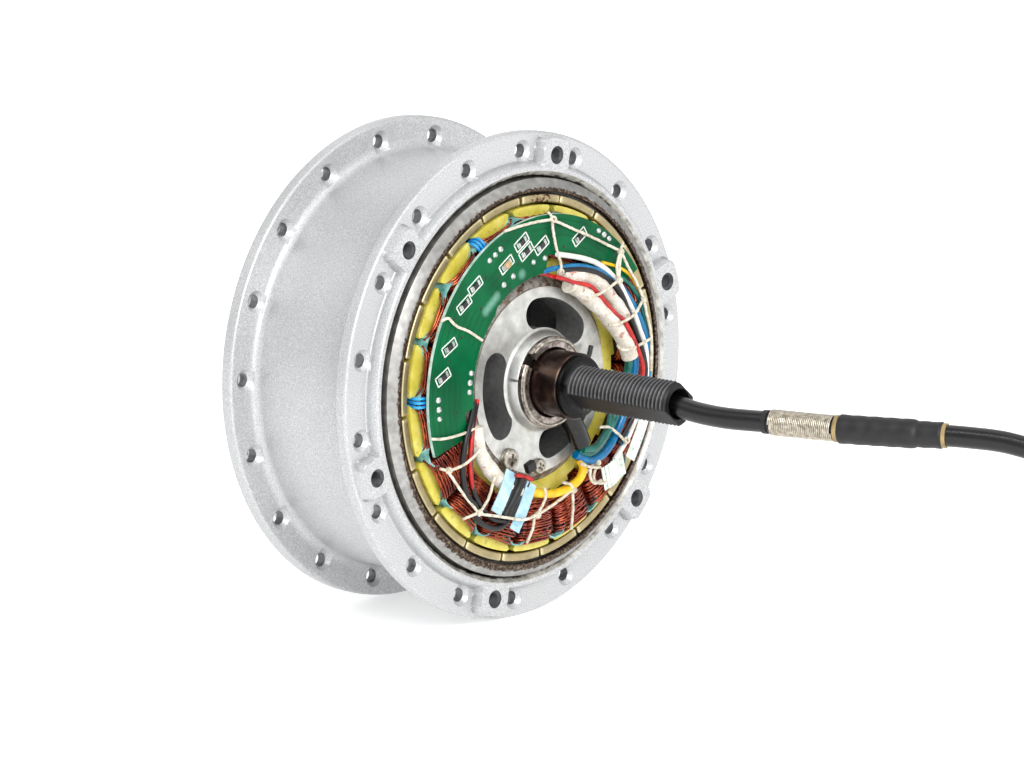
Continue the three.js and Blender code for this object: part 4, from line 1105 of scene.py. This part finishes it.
# thin leads from the board round the right-hand side to the cable: radius, depth, points as seen
SENSOR_RUNS = {
    "white": (0.85, -38.7, [
        (3, 38.2), (10, 36.7), (15, 35.4), (20, 33.6), (24, 31.4), (28, 28.4), (30.5, 26.2), (33, 22.6),
        (35.6, 18.8), (38, 15), (40.2, 10.4), (42.4, 5.8), (43.4, 0), (42.6, -7), (39.6, -14.5),
        (35, -22), (29, -28)
    ]),
    "blue": (0.85, -38.4, [
        (4, 34), (10, 33.8), (15, 33), (20, 31.5), (24, 29.9), (28, 27.6), (32.6, 24), (37.2, 18.6),
        (40.2, 14.2), (42.6, 9.2), (44.4, 3.8), (44.6, -2), (42.6, -10), (38, -17.4), (32, -24.6)
    ]),
    "black": (0.85, -39.2, [
        (4.5, 33), (12, 32.4), (18.5, 31.2), (24, 28.8), (28, 26.2), (30.8, 23.6), (33, 20.3), (35, 16.3),
        (37.2, 12.3), (39.6, 7.4), (41.8, 2.5), (42.8, -3), (40.4, -10.5), (36, -17.6), (30.5, -23.4)
    ]),
    "red": (0.7, -41.2, [
        (2, 31.5), (6, 30.3), (10, 28.8), (14, 27.8), (18, 26.5), (21, 24), (23, 22.3), (27, 18.5),
        (30, 16), (32.5, 14.5), (35, 11.5), (37.5, 7.5), (40, 3), (41.5, -1), (40.4, -7.4), (37, -14)
    ]),
    "yellow": (0.5, -38.3, [
        (23, 33.3), (27, 32.1), (30, 31), (33, 29.6), (35.8, 27.6), (38.4, 24.6), (40.4, 21.4),
        (42.4, 17), (44, 11), (44.8, 5), (45, -2), (43.4, -9)
    ]),
    "green": (0.75, -38.1, [
        (30, 28.6), (31.5, 27.6), (35, 25.4), (37.5, 23), (39.8, 20), (41.4, 16.4), (43, 12), (44.2, 7),
        (44.6, 1), (43.6, -6), (40.8, -13)
    ]),
}


def sensor_leads():
    for colour, (radius, depth, points) in SENSOR_RUNS.items():
        stands_for = ["sensor_lead_bundle"] if colour == "black" else []
        wire(f"sensor_lead_{colour}", laid(points, depth), radius, colour, stands_for, 10)
    into_board = [(4, -36.9, 31), (-2, -36.5, 32.8), (-9, -36.5, 32.4), (-16, -36.5, 30)]
    wire("board_red", into_board, 0.6, "red", sides=8)
    wire("board_blue", laid([(4.2, 34), (0, 34), (-4, 33.6)], (-38.4, -37.4, -36.2)), 0.85, "blue", sides=8)
    for angle in (120, 180):
        for k in range(3):
            off = (k - 1) * 1.3
            base = [(43.5, off * 0.4, -36.0), (47.5, off * 0.8, -34.8), (50.2, off, -34.4),
                    (51.6, off, -33.2), (51.2, off * 0.8, -30.0)]
            points, _ = turned(([(r, y, t) for r, t, y in base], []), angle)
            wire(f"hall_lead_{angle}_{k + 1}", points, 0.48, "light_blue", sides=8)


def left_leads():
    """Leads that leave the board's lower end for the temperature sensor."""
    red = [(-31.6, -1), (-32.4, -5), (-33.4, -10), (-34.4, -15), (-34.7, -21), (-34, -26), (-33.2, -28.5)]
    black = [(-33.0, -2), (-34.5, -7), (-36.5, -12), (-38, -20), (-37, -27), (-35.5, -30), (-32.5, -33),
             (-32, -36.5), (-28, -39.5), (-23, -41), (-19.5, -40), (-17, -37)]
    inner = [(-32.0, -2), (-33.6, -8), (-34.4, -16), (-34.6, -23), (-33, -29), (-29.6, -34), (-25, -38),
             (-20, -39.4)]
    wire("left_red", laid(red, (-36, -37, -38.2, -38.9, -38.9, -38.9, -38.4)), 0.6, "red")
    wire("left_black", laid(black, (-36, -37.6) + (-38.4,) * 10), 0.95, "black")
    wire("left_black_inner", laid(inner, (-36, -37.6) + (-38.5,) * 6), 0.85, "black")


def thermistor():
    """Temperature sensor between two sheathed leads."""
    sensor = [(-20, -37.8), (-17, -34.5), (-14, -30.5), (-12, -27.6)]
    sheath = spline(laid(sensor, (-38.6, -38.9, -39.3, -39.8)))
    body = tube(sheath, 1.45 + 0.1 * np.sin(np.arange(len(sheath)) * 0.8), 16)
    piece("thermistor_looks", body, SHRINK, "stator", ["thermistor"], sharp=60)
    for k, (dx, dz) in enumerate(((1.9, -1.4), (-1.9, 1.4))):
        moved = [(x + dx, z + dz) for x, z in sensor]
        tubes = tube(spline(laid(moved, -38.6)), 1.15, 14)
        piece(f"thermistor_sheath_{k + 1}", tubes, SHRINK, "stator", sharp=60)
    piece("thermistor_head", block((-10, -40.2, -24.2), (3.6, 2.2, 3.2), 20), SHRINK, "stator", bevel=0.5)
    threads = [(-15, -26.2), (-12.4, -26.8), (-10.6, -27.4), (-8, -28.6)]
    wire("thermistor_red", laid(threads, -40.6), 0.6, "red", sides=8)


def paper_strips():
    """Two light blue papers bent over the temperature sensor's leads."""
    strips = {"paper_strip_upper": ([(-17.4, -24.6), (-24.2, -36.2)], 4.8),
              "paper_strip_lower": ([(-8.6, -29.6), (-16.2, -42.8)], 4.4)}
    for name, (ends, width) in strips.items():
        (x0, z0), (x1, z1) = ends
        length, a = math.dist(*ends), math.atan2(z1 - z0, x1 - x0)
        sheet = []
        for k in range(9):
            u = (k - 4) / 9
            centre = ((x0 + x1) / 2 + u * length * math.cos(a), -39.4 - 0.5 * math.cos(u * 3),
                      (z0 + z1) / 2 + u * length * math.sin(a))
            sheet.append(block(centre, (length / 9 + 0.02, 0.3, width), math.degrees(a)))
        piece(name, join(sheet), BLUE_PAPER, "stator", bevel=0.05)


# lacing: runs of points over the board and the leads; knots sit where cords meet
CORDS = [
    [(1.6, -36.6, 50.6), (1.6, -38.0, 49.6), (2.0, -38.2, 46.0), (3.6, -38.3, 39.4), (4.4, -39.3, 35.0),
     (4.0, -39.4, 31.8)],
    [(1.8, -38.3, 48.6), (10.0, -38.0, 45.2), (20.0, -38.0, 41.0), (31.6, -38.6, 35.6)],
    [(1.4, -38.3, 48.8), (-8.0, -37.9, 48.6), (-18.0, -37.2, 47.4)],
    laid([(31.2, 35.5), (29.6, 31), (30.4, 26.8)], (-39.3, -40, -40.8)),
    laid([(31.8, 35.5), (30.8, 31), (30.7, 26.8)], (-39.3, -40, -40.8)),
    laid([(30.4, 26.8), (26, 25), (21, 23.6), (16, 23.5)], (-40.8, -41.8, -42.2, -41.2)),
    laid([(31.5, 35.5), (35, 30), (38, 26), (41, 21), (41.5, 19.8), (42.5, 17.5), (43.5, 14), (44.5, 11),
          (45.3, 8), (45.5, 4), (45.4, -3)], -39.6),
    laid([(31, 35.5), (32.5, 38)], (-39.0, -38.2)),
    laid([(41, 19), (38.5, 16), (36, 14.8), (33, 14), (29.5, 13.3), (26, 13.8)],
         (-39.6, -40.4, -41, -41.8, -42.2, -41)),
    laid([(45, 7), (41, 6), (38, 5.3), (34, 5), (31.5, 5.5), (30, 7)],
         (-39.6, -40.6, -41.4, -42.2, -41.6, -40.4)),
    laid([(-47, 24.5), (-44, 25), (-41, 22.5), (-35, 19.8), (-29.5, 16.5)],
         (-37, -37.6, -37.7, -37.7, -37.5)),
    [(-49.6, -37.4, -10.4), (-46.0, -38.2, -10.8), (-38.0, -38.2, -10.6), (-31.0, -38.4, -9.4)],
    [(-45.8, -37.4, -19.8), (-43.0, -38.0, -20.6), (-37.6, -39.2, -19.6), (-31.2, -39.8, -16.0)],
    [(-43.0, -38.0, -21.0), (-37.6, -38.4, -28.0), (-31.6, -39.0, -34.6)],
    [(-31.4, -39.2, -35.0), (-37.0, -38.2, -36.2)],
    [(-31.0, -39.4, -35.0), (-27.6, -39.8, -31.0), (-25.2, -39.8, -25.0)],
    [(-31.0, -39.4, -35.4), (-22.0, -40.4, -37.6), (-13.0, -40.6, -39.8), (-5.6, -39.0, -39.6)],
    [(-5.6, -39.0, -39.8), (-2.0, -39.2, -34.6), (-2.4, -39.0, -31.8)],
    [(-5.4, -38.6, -40.0), (3.0, -38.4, -37.6), (10.6, -38.6, -34.6)],
    [(-5.8, -38.2, -40.2), (-5.8, -37.4, -44.0), (-6.4, -35.6, -48.6)],
    [(10.6, -38.6, -34.6), (8.8, -39.4, -32.6), (5.6, -39.2, -31.6)],
    [(10.8, -38.4, -35.0), (12.0, -37.4, -41.0), (13.4, -35.4, -47.6)],
    [(10.8, -38.6, -34.6), (15.0, -38.8, -31.0), (20.4, -39.0, -27.4)],
    [(20.6, -39.4, -27.6), (19.8, -38.8, -32.6), (23.6, -38.6, -34.6), (28.0, -38.6, -33.2)],
    laid([(22, -17), (26, -17.6), (30, -20), (33.5, -23)], (-40.2, -40.6, -40.6, -40)),
    laid([(13.5, -27), (18, -28.6), (22.5, -29.5)], (-40, -40.6, -40)),
    laid([(18, -29), (18, -32), (20, -34), (23, -33.5)], -39.6),
]
KNOTS = [(1.8, -38.6, 48.8), (4.0, -39.6, 32.8), (31.2, -39.2, 35.5), (28.6, -41.0, 27.2),
         (41.0, -39.8, 19.8), (-43.2, -38.4, -20.6), (-31.4, -39.6, -35.0), (-5.6, -39.2, -39.8),
         (10.8, -38.8, -34.8), (20.6, -39.6, -27.6), (32.6, -40.6, -22.4)]
CORD_R, KNOT_R = 0.45, 0.75


def lacing_cords():
    solids = []
    for points in CORDS:
        path = spline(points)
        path += rng.normal(0, 0.035, path.shape)
        solids.append(tube(path, CORD_R, 9))
    for centre in KNOTS:
        for k in range(3):
            tilt = rng.uniform(0, math.pi, 2)
            u = np.array([math.cos(tilt[0]), 0.35, math.sin(tilt[0])])
            v = np.cross(u, [math.cos(tilt[1]), 1.0, math.sin(tilt[1])])
            u, v = u / np.linalg.norm(u), v / np.linalg.norm(v)
            turns = np.arange(14) * TURN / 14
            loop = [np.array(centre) + KNOT_R * (u * math.cos(a) + v * math.sin(a)) for a in turns]
            solids.append(tube(loop, CORD_R * 0.9, 8, closed=True))
    piece("lacing_cord", join(solids), CORD, "stator", sharp=60)


def loose_bits():
    """Paper and the wide white strip by the cable, and the rod on the spider."""
    sheet = []
    for k in range(8):
        centre = (24.8 + k * 1.25, -38.6 - 0.5 * math.sin(k * 0.7), -33.4 + 0.5 * k)
        sheet.append(block(centre, (1.27, 0.3, 7.4), 14))
    piece("cable_paper", join(sheet), WHITE_PAPER, "stator", bevel=0.05)
    strip = []
    for k in range(12):
        u = k / 11
        centre = (35.6 + 7.0 * u, -39.6 - 0.3 * math.sin(u * 3), -28 + 13 * u)
        strip.append(block(centre, (1.5, 0.3, 4.2), 62 + 6 * u))
    piece("cable_strip", join(strip), WHITE_PAPER, "stator", bevel=0.05)
    rod = spline([(18.4, -37.2, 3.5), (19.2, -37.4, 5.6), (20.2, -37.2, 8.0)])
    piece("spider_rod", tube(rod, 0.75, 12), SHRINK, "stator", sharp=60)


# --------------------------------------------------------------------- cable
CABLE_POINTS = [(14.2, -38.6, -20.8), (11.0, -38.9, -15.4), (7.0, -39.2, -9.6), (3.0, -41.4, -4.0),
                (0.4, -46.5, -0.7), (0, -54, 0)]
CABLE_RUN = [(0, -54, 0), (0, -70, 0), (0, -88, -0.4), (0.2, -96, -1.5), (1.0, -107, -2.0),
             (5.4, -121.5, -2.0), (11.2, -141.4, -2.0), (20.0, -161.5, -2.0), (26.4, -176.2, -2.0),
             (31.4, -188.2, -2.9), (36.2, -200.0, -6.5), (40.2, -210.5, -14.5), (42.4, -216.2, -26.0),
             (43.0, -217.0, -38.0)]


def stretch(path, y_from, y_to):
    return path[(path[:, 1] <= y_from) & (path[:, 1] >= y_to)]


def cable():
    """Cable from the leads through the axle to its cut end; returns the line that it follows outside."""
    run = spline(CABLE_RUN, 0.5)
    inside = tube(spline(CABLE_POINTS), CABLE_R, 24)
    piece("cable_looks", join([tube(run, CABLE_R, 32), inside]), RUBBER, "stator", ["motor_cable"], sharp=60)
    collar = stretch(run, SPRING_Y[0] + 2.4, SPRING_Y[0] + 0.6)
    piece("cable_ring", tube(collar, CABLE_R + 0.35, 32), SHRINK, "stator", sharp=40)
    return run


def strain_relief(run):
    """Close-wound spring round the cable."""
    centre = stretch(run, *SPRING_Y)
    turns, per_turn = 34, 26
    count = turns * per_turn
    share = np.linspace(0, len(centre) - 1, count)
    line = np.stack([np.interp(share, np.arange(len(centre)), centre[:, k]) for k in range(3)], -1)
    along = np.gradient(line, axis=0)
    along /= np.linalg.norm(along, axis=1)[:, None]
    side = np.cross(along, (0, 0, 1))
    side /= np.linalg.norm(side, axis=1)[:, None]
    up = np.cross(side, along)
    angle = (np.arange(count) * TURN / per_turn)[:, None]
    helix = line + (CABLE_R + 0.42) * (np.cos(angle) * side + np.sin(angle) * up)
    piece("spring_looks", tube(helix, 0.29, 8), SPRING, "stator", ["strain_relief_spring"], sharp=60)


def shrink_sleeve(run):
    """Heat-shrink with a step near its end, and a ring of glue pressed out at both ends."""
    path = stretch(run, *SHRINK_Y)
    t = np.linspace(0, 1, len(path))
    radius = np.where(t < 0.72, 4.25, 4.25 - 0.4 * smooth_step(t, 0.72, 0.76))
    ends = 0.5 * (1 - smooth_step(t, 0, 0.012)), 0.4 * smooth_step(t, 0.985, 1)
    radius = radius + 0.06 * np.sin(t * 40) - ends[0] - ends[1]
    piece("shrink_looks", tube(path, radius, 32), SHRINK, "stator", ["heat_shrink_sleeve"], sharp=60)
    for name, y_from, y_to, r in (("glue_front", SHRINK_Y[0] + 0.7, SHRINK_Y[0] - 1.2, 3.95),
                                  ("glue_rear", SHRINK_Y[1] + 0.9, SHRINK_Y[1] - 1.0, 3.6)):
        part = stretch(run, y_from, y_to)
        piece(name, tube(part, r, 28), TAN_GLUE, "stator", sharp=40)


hub_shell()
rotor_ring()
stator_core()
slot_liners()
coils()
spider()
retaining_ring()
for screw, (angle, head, height) in SCREWS.items():
    cross_screw(screw, angle, head, height)
axle()
rear_cover()
rear_screws()
rear_seal()
hidden_bearing()
board()
phase_leads()
sleeves()
sensor_leads()
left_leads()
thermistor()
paper_strips()
lacing_cords()
loose_bits()
outside_run = cable()
strain_relief(outside_run)
shrink_sleeve(outside_run)


# --------------------------------------------------------------------- stage
FLOOR_GLOW = 0.4  # lifts the floor to the white of the background


def floor():
    material = bpy.data.materials.new("floor")
    material.use_nodes = True
    nodes, links = material.node_tree.nodes, material.node_tree.links
    bsdf = nodes["Principled BSDF"]
    grain = nodes.new("ShaderNodeTexNoise")
    grain.inputs["Scale"].default_value = 40
    tone = nodes.new("ShaderNodeValToRGB")
    for element, level in zip(tone.color_ramp.elements, (0.93, 0.96)):
        element.color = (level, level, level, 1)
    links.new(grain.outputs[0], tone.inputs[0])
    links.new(tone.outputs[0], bsdf.inputs["Base Color"])
    bsdf.inputs["Roughness"].default_value = 0.45
    bsdf.inputs["Emission Color"].default_value = (1, 1, 1, 1)
    bsdf.inputs["Emission Strength"].default_value = FLOOR_GLOW
    mesh = bpy.data.meshes.new("floor")
    reach, level = 6.0, -FLANGE_R * MM
    corners = ((-reach, -reach), (reach, -reach), (reach, reach), (-reach, reach))
    mesh.from_pydata([(x, y, level) for x, y in corners], [], [[0, 1, 2, 3]])
    mesh.materials.append(material)
    obj = bpy.data.objects.new("floor", mesh)
    bpy.context.scene.collection.objects.link(obj)


def area_light(name, place, aim, size, power):
    data = bpy.data.lights.new(name, "AREA")
    data.shape, data.size, data.size_y, data.energy = "RECTANGLE", size[0], size[1], power
    obj = bpy.data.objects.new(name, data)
    obj.location = place
    obj.rotation_mode = "QUATERNION"
    obj.rotation_quaternion = (Vector(aim) - Vector(place)).to_track_quat("-Z", "Y")
    bpy.context.scene.collection.objects.link(obj)


LIGHT_EVEN, LIGHT_LEFT = 0.76, 0.78  # strength of the white surroundings, ahead and on the left


def studio():
    """White surroundings; mirror-like surfaces see them as pale and dark panels."""
    world = bpy.data.worlds.new("studio")
    bpy.context.scene.world = world
    world.use_nodes = True
    nodes, links = world.node_tree.nodes, world.node_tree.links
    coords = nodes.new("ShaderNodeTexCoord")
    split = nodes.new("ShaderNodeSeparateXYZ")
    links.new(coords.outputs["Generated"], split.inputs[0])

    def band(axis, low, high, bottom, top):
        node = nodes.new("ShaderNodeMapRange")
        node.interpolation_type = "SMOOTHSTEP"
        links.new(split.outputs[axis], node.inputs["Value"])
        for name, value in (("From Min", low), ("From Max", high), ("To Min", bottom), ("To Max", top)):
            node.inputs[name].default_value = value
        return node.outputs[0]

    def maths(operation, a, b):
        node = nodes.new("ShaderNodeMath")
        node.operation = operation
        for socket, value in zip(node.inputs, (a, b)):
            if isinstance(value, float):
                socket.default_value = value
            else:
                links.new(value, socket)
        return node.outputs[0]

    even = band("X", 0.2, -0.9, LIGHT_EVEN, LIGHT_LEFT)
    across = maths("MULTIPLY", split.outputs["X"], 7.0)
    slope = maths("ADD", across, maths("MULTIPLY", split.outputs["Z"], 3.0))
    wave = maths("SINE", slope, 0.0)
    stripes = maths("ADD", maths("MULTIPLY", wave, -0.35), 0.95)
    path = nodes.new("ShaderNodeLightPath")
    glossy = maths("MULTIPLY", path.outputs["Is Glossy Ray"], maths("SUBTRACT", stripes, even))
    glow = maths("ADD", even, glossy)
    plain_white = maths("MULTIPLY", path.outputs["Is Camera Ray"], maths("SUBTRACT", 1.0, glow))
    links.new(maths("ADD", glow, plain_white), nodes["Background"].inputs["Strength"])
    nodes["Background"].inputs["Color"].default_value = (1, 1, 1, 1)
    hub = tuple(-DATUM * MM)
    area_light("key", (-0.9, -1.6, 0.9), hub, (1.0, 1.0), 25)
    area_light("strip", (-0.3, -0.6, 1.5), hub, (2.2, 0.07), 5)


CAMERA_LENS, CAMERA_ANGLES = 196.2, (-47.032, 10.836)  # azimuth and elevation
CAMERA_AT = (-1204.134, -1145.099, 312.266)  # from the middle between the flanges


def camera():
    """Long lens, a little above the axle, looking in at the open side from the left."""
    data = bpy.data.cameras.new("camera")
    data.lens, data.sensor_width = CAMERA_LENS, 36.0
    azimuth, elevation = (math.radians(a) for a in CAMERA_ANGLES)
    back = Vector((math.sin(azimuth) * math.cos(elevation), -math.cos(azimuth) * math.cos(elevation),
                   math.sin(elevation)))
    right = Vector((math.cos(azimuth), math.sin(azimuth), 0))
    turn = Matrix((right, back.cross(right), back)).transposed()
    place = Vector(CAMERA_AT) - Vector(DATUM)
    obj = bpy.data.objects.new("camera", data)
    obj.matrix_world = Matrix.Translation(place * MM) @ turn.to_4x4()
    data.clip_start, data.clip_end = 0.05, 50
    bpy.context.scene.collection.objects.link(obj)
    bpy.context.scene.camera = obj


floor()
studio()
camera()
bpy.context.scene.view_settings.view_transform = "Standard"
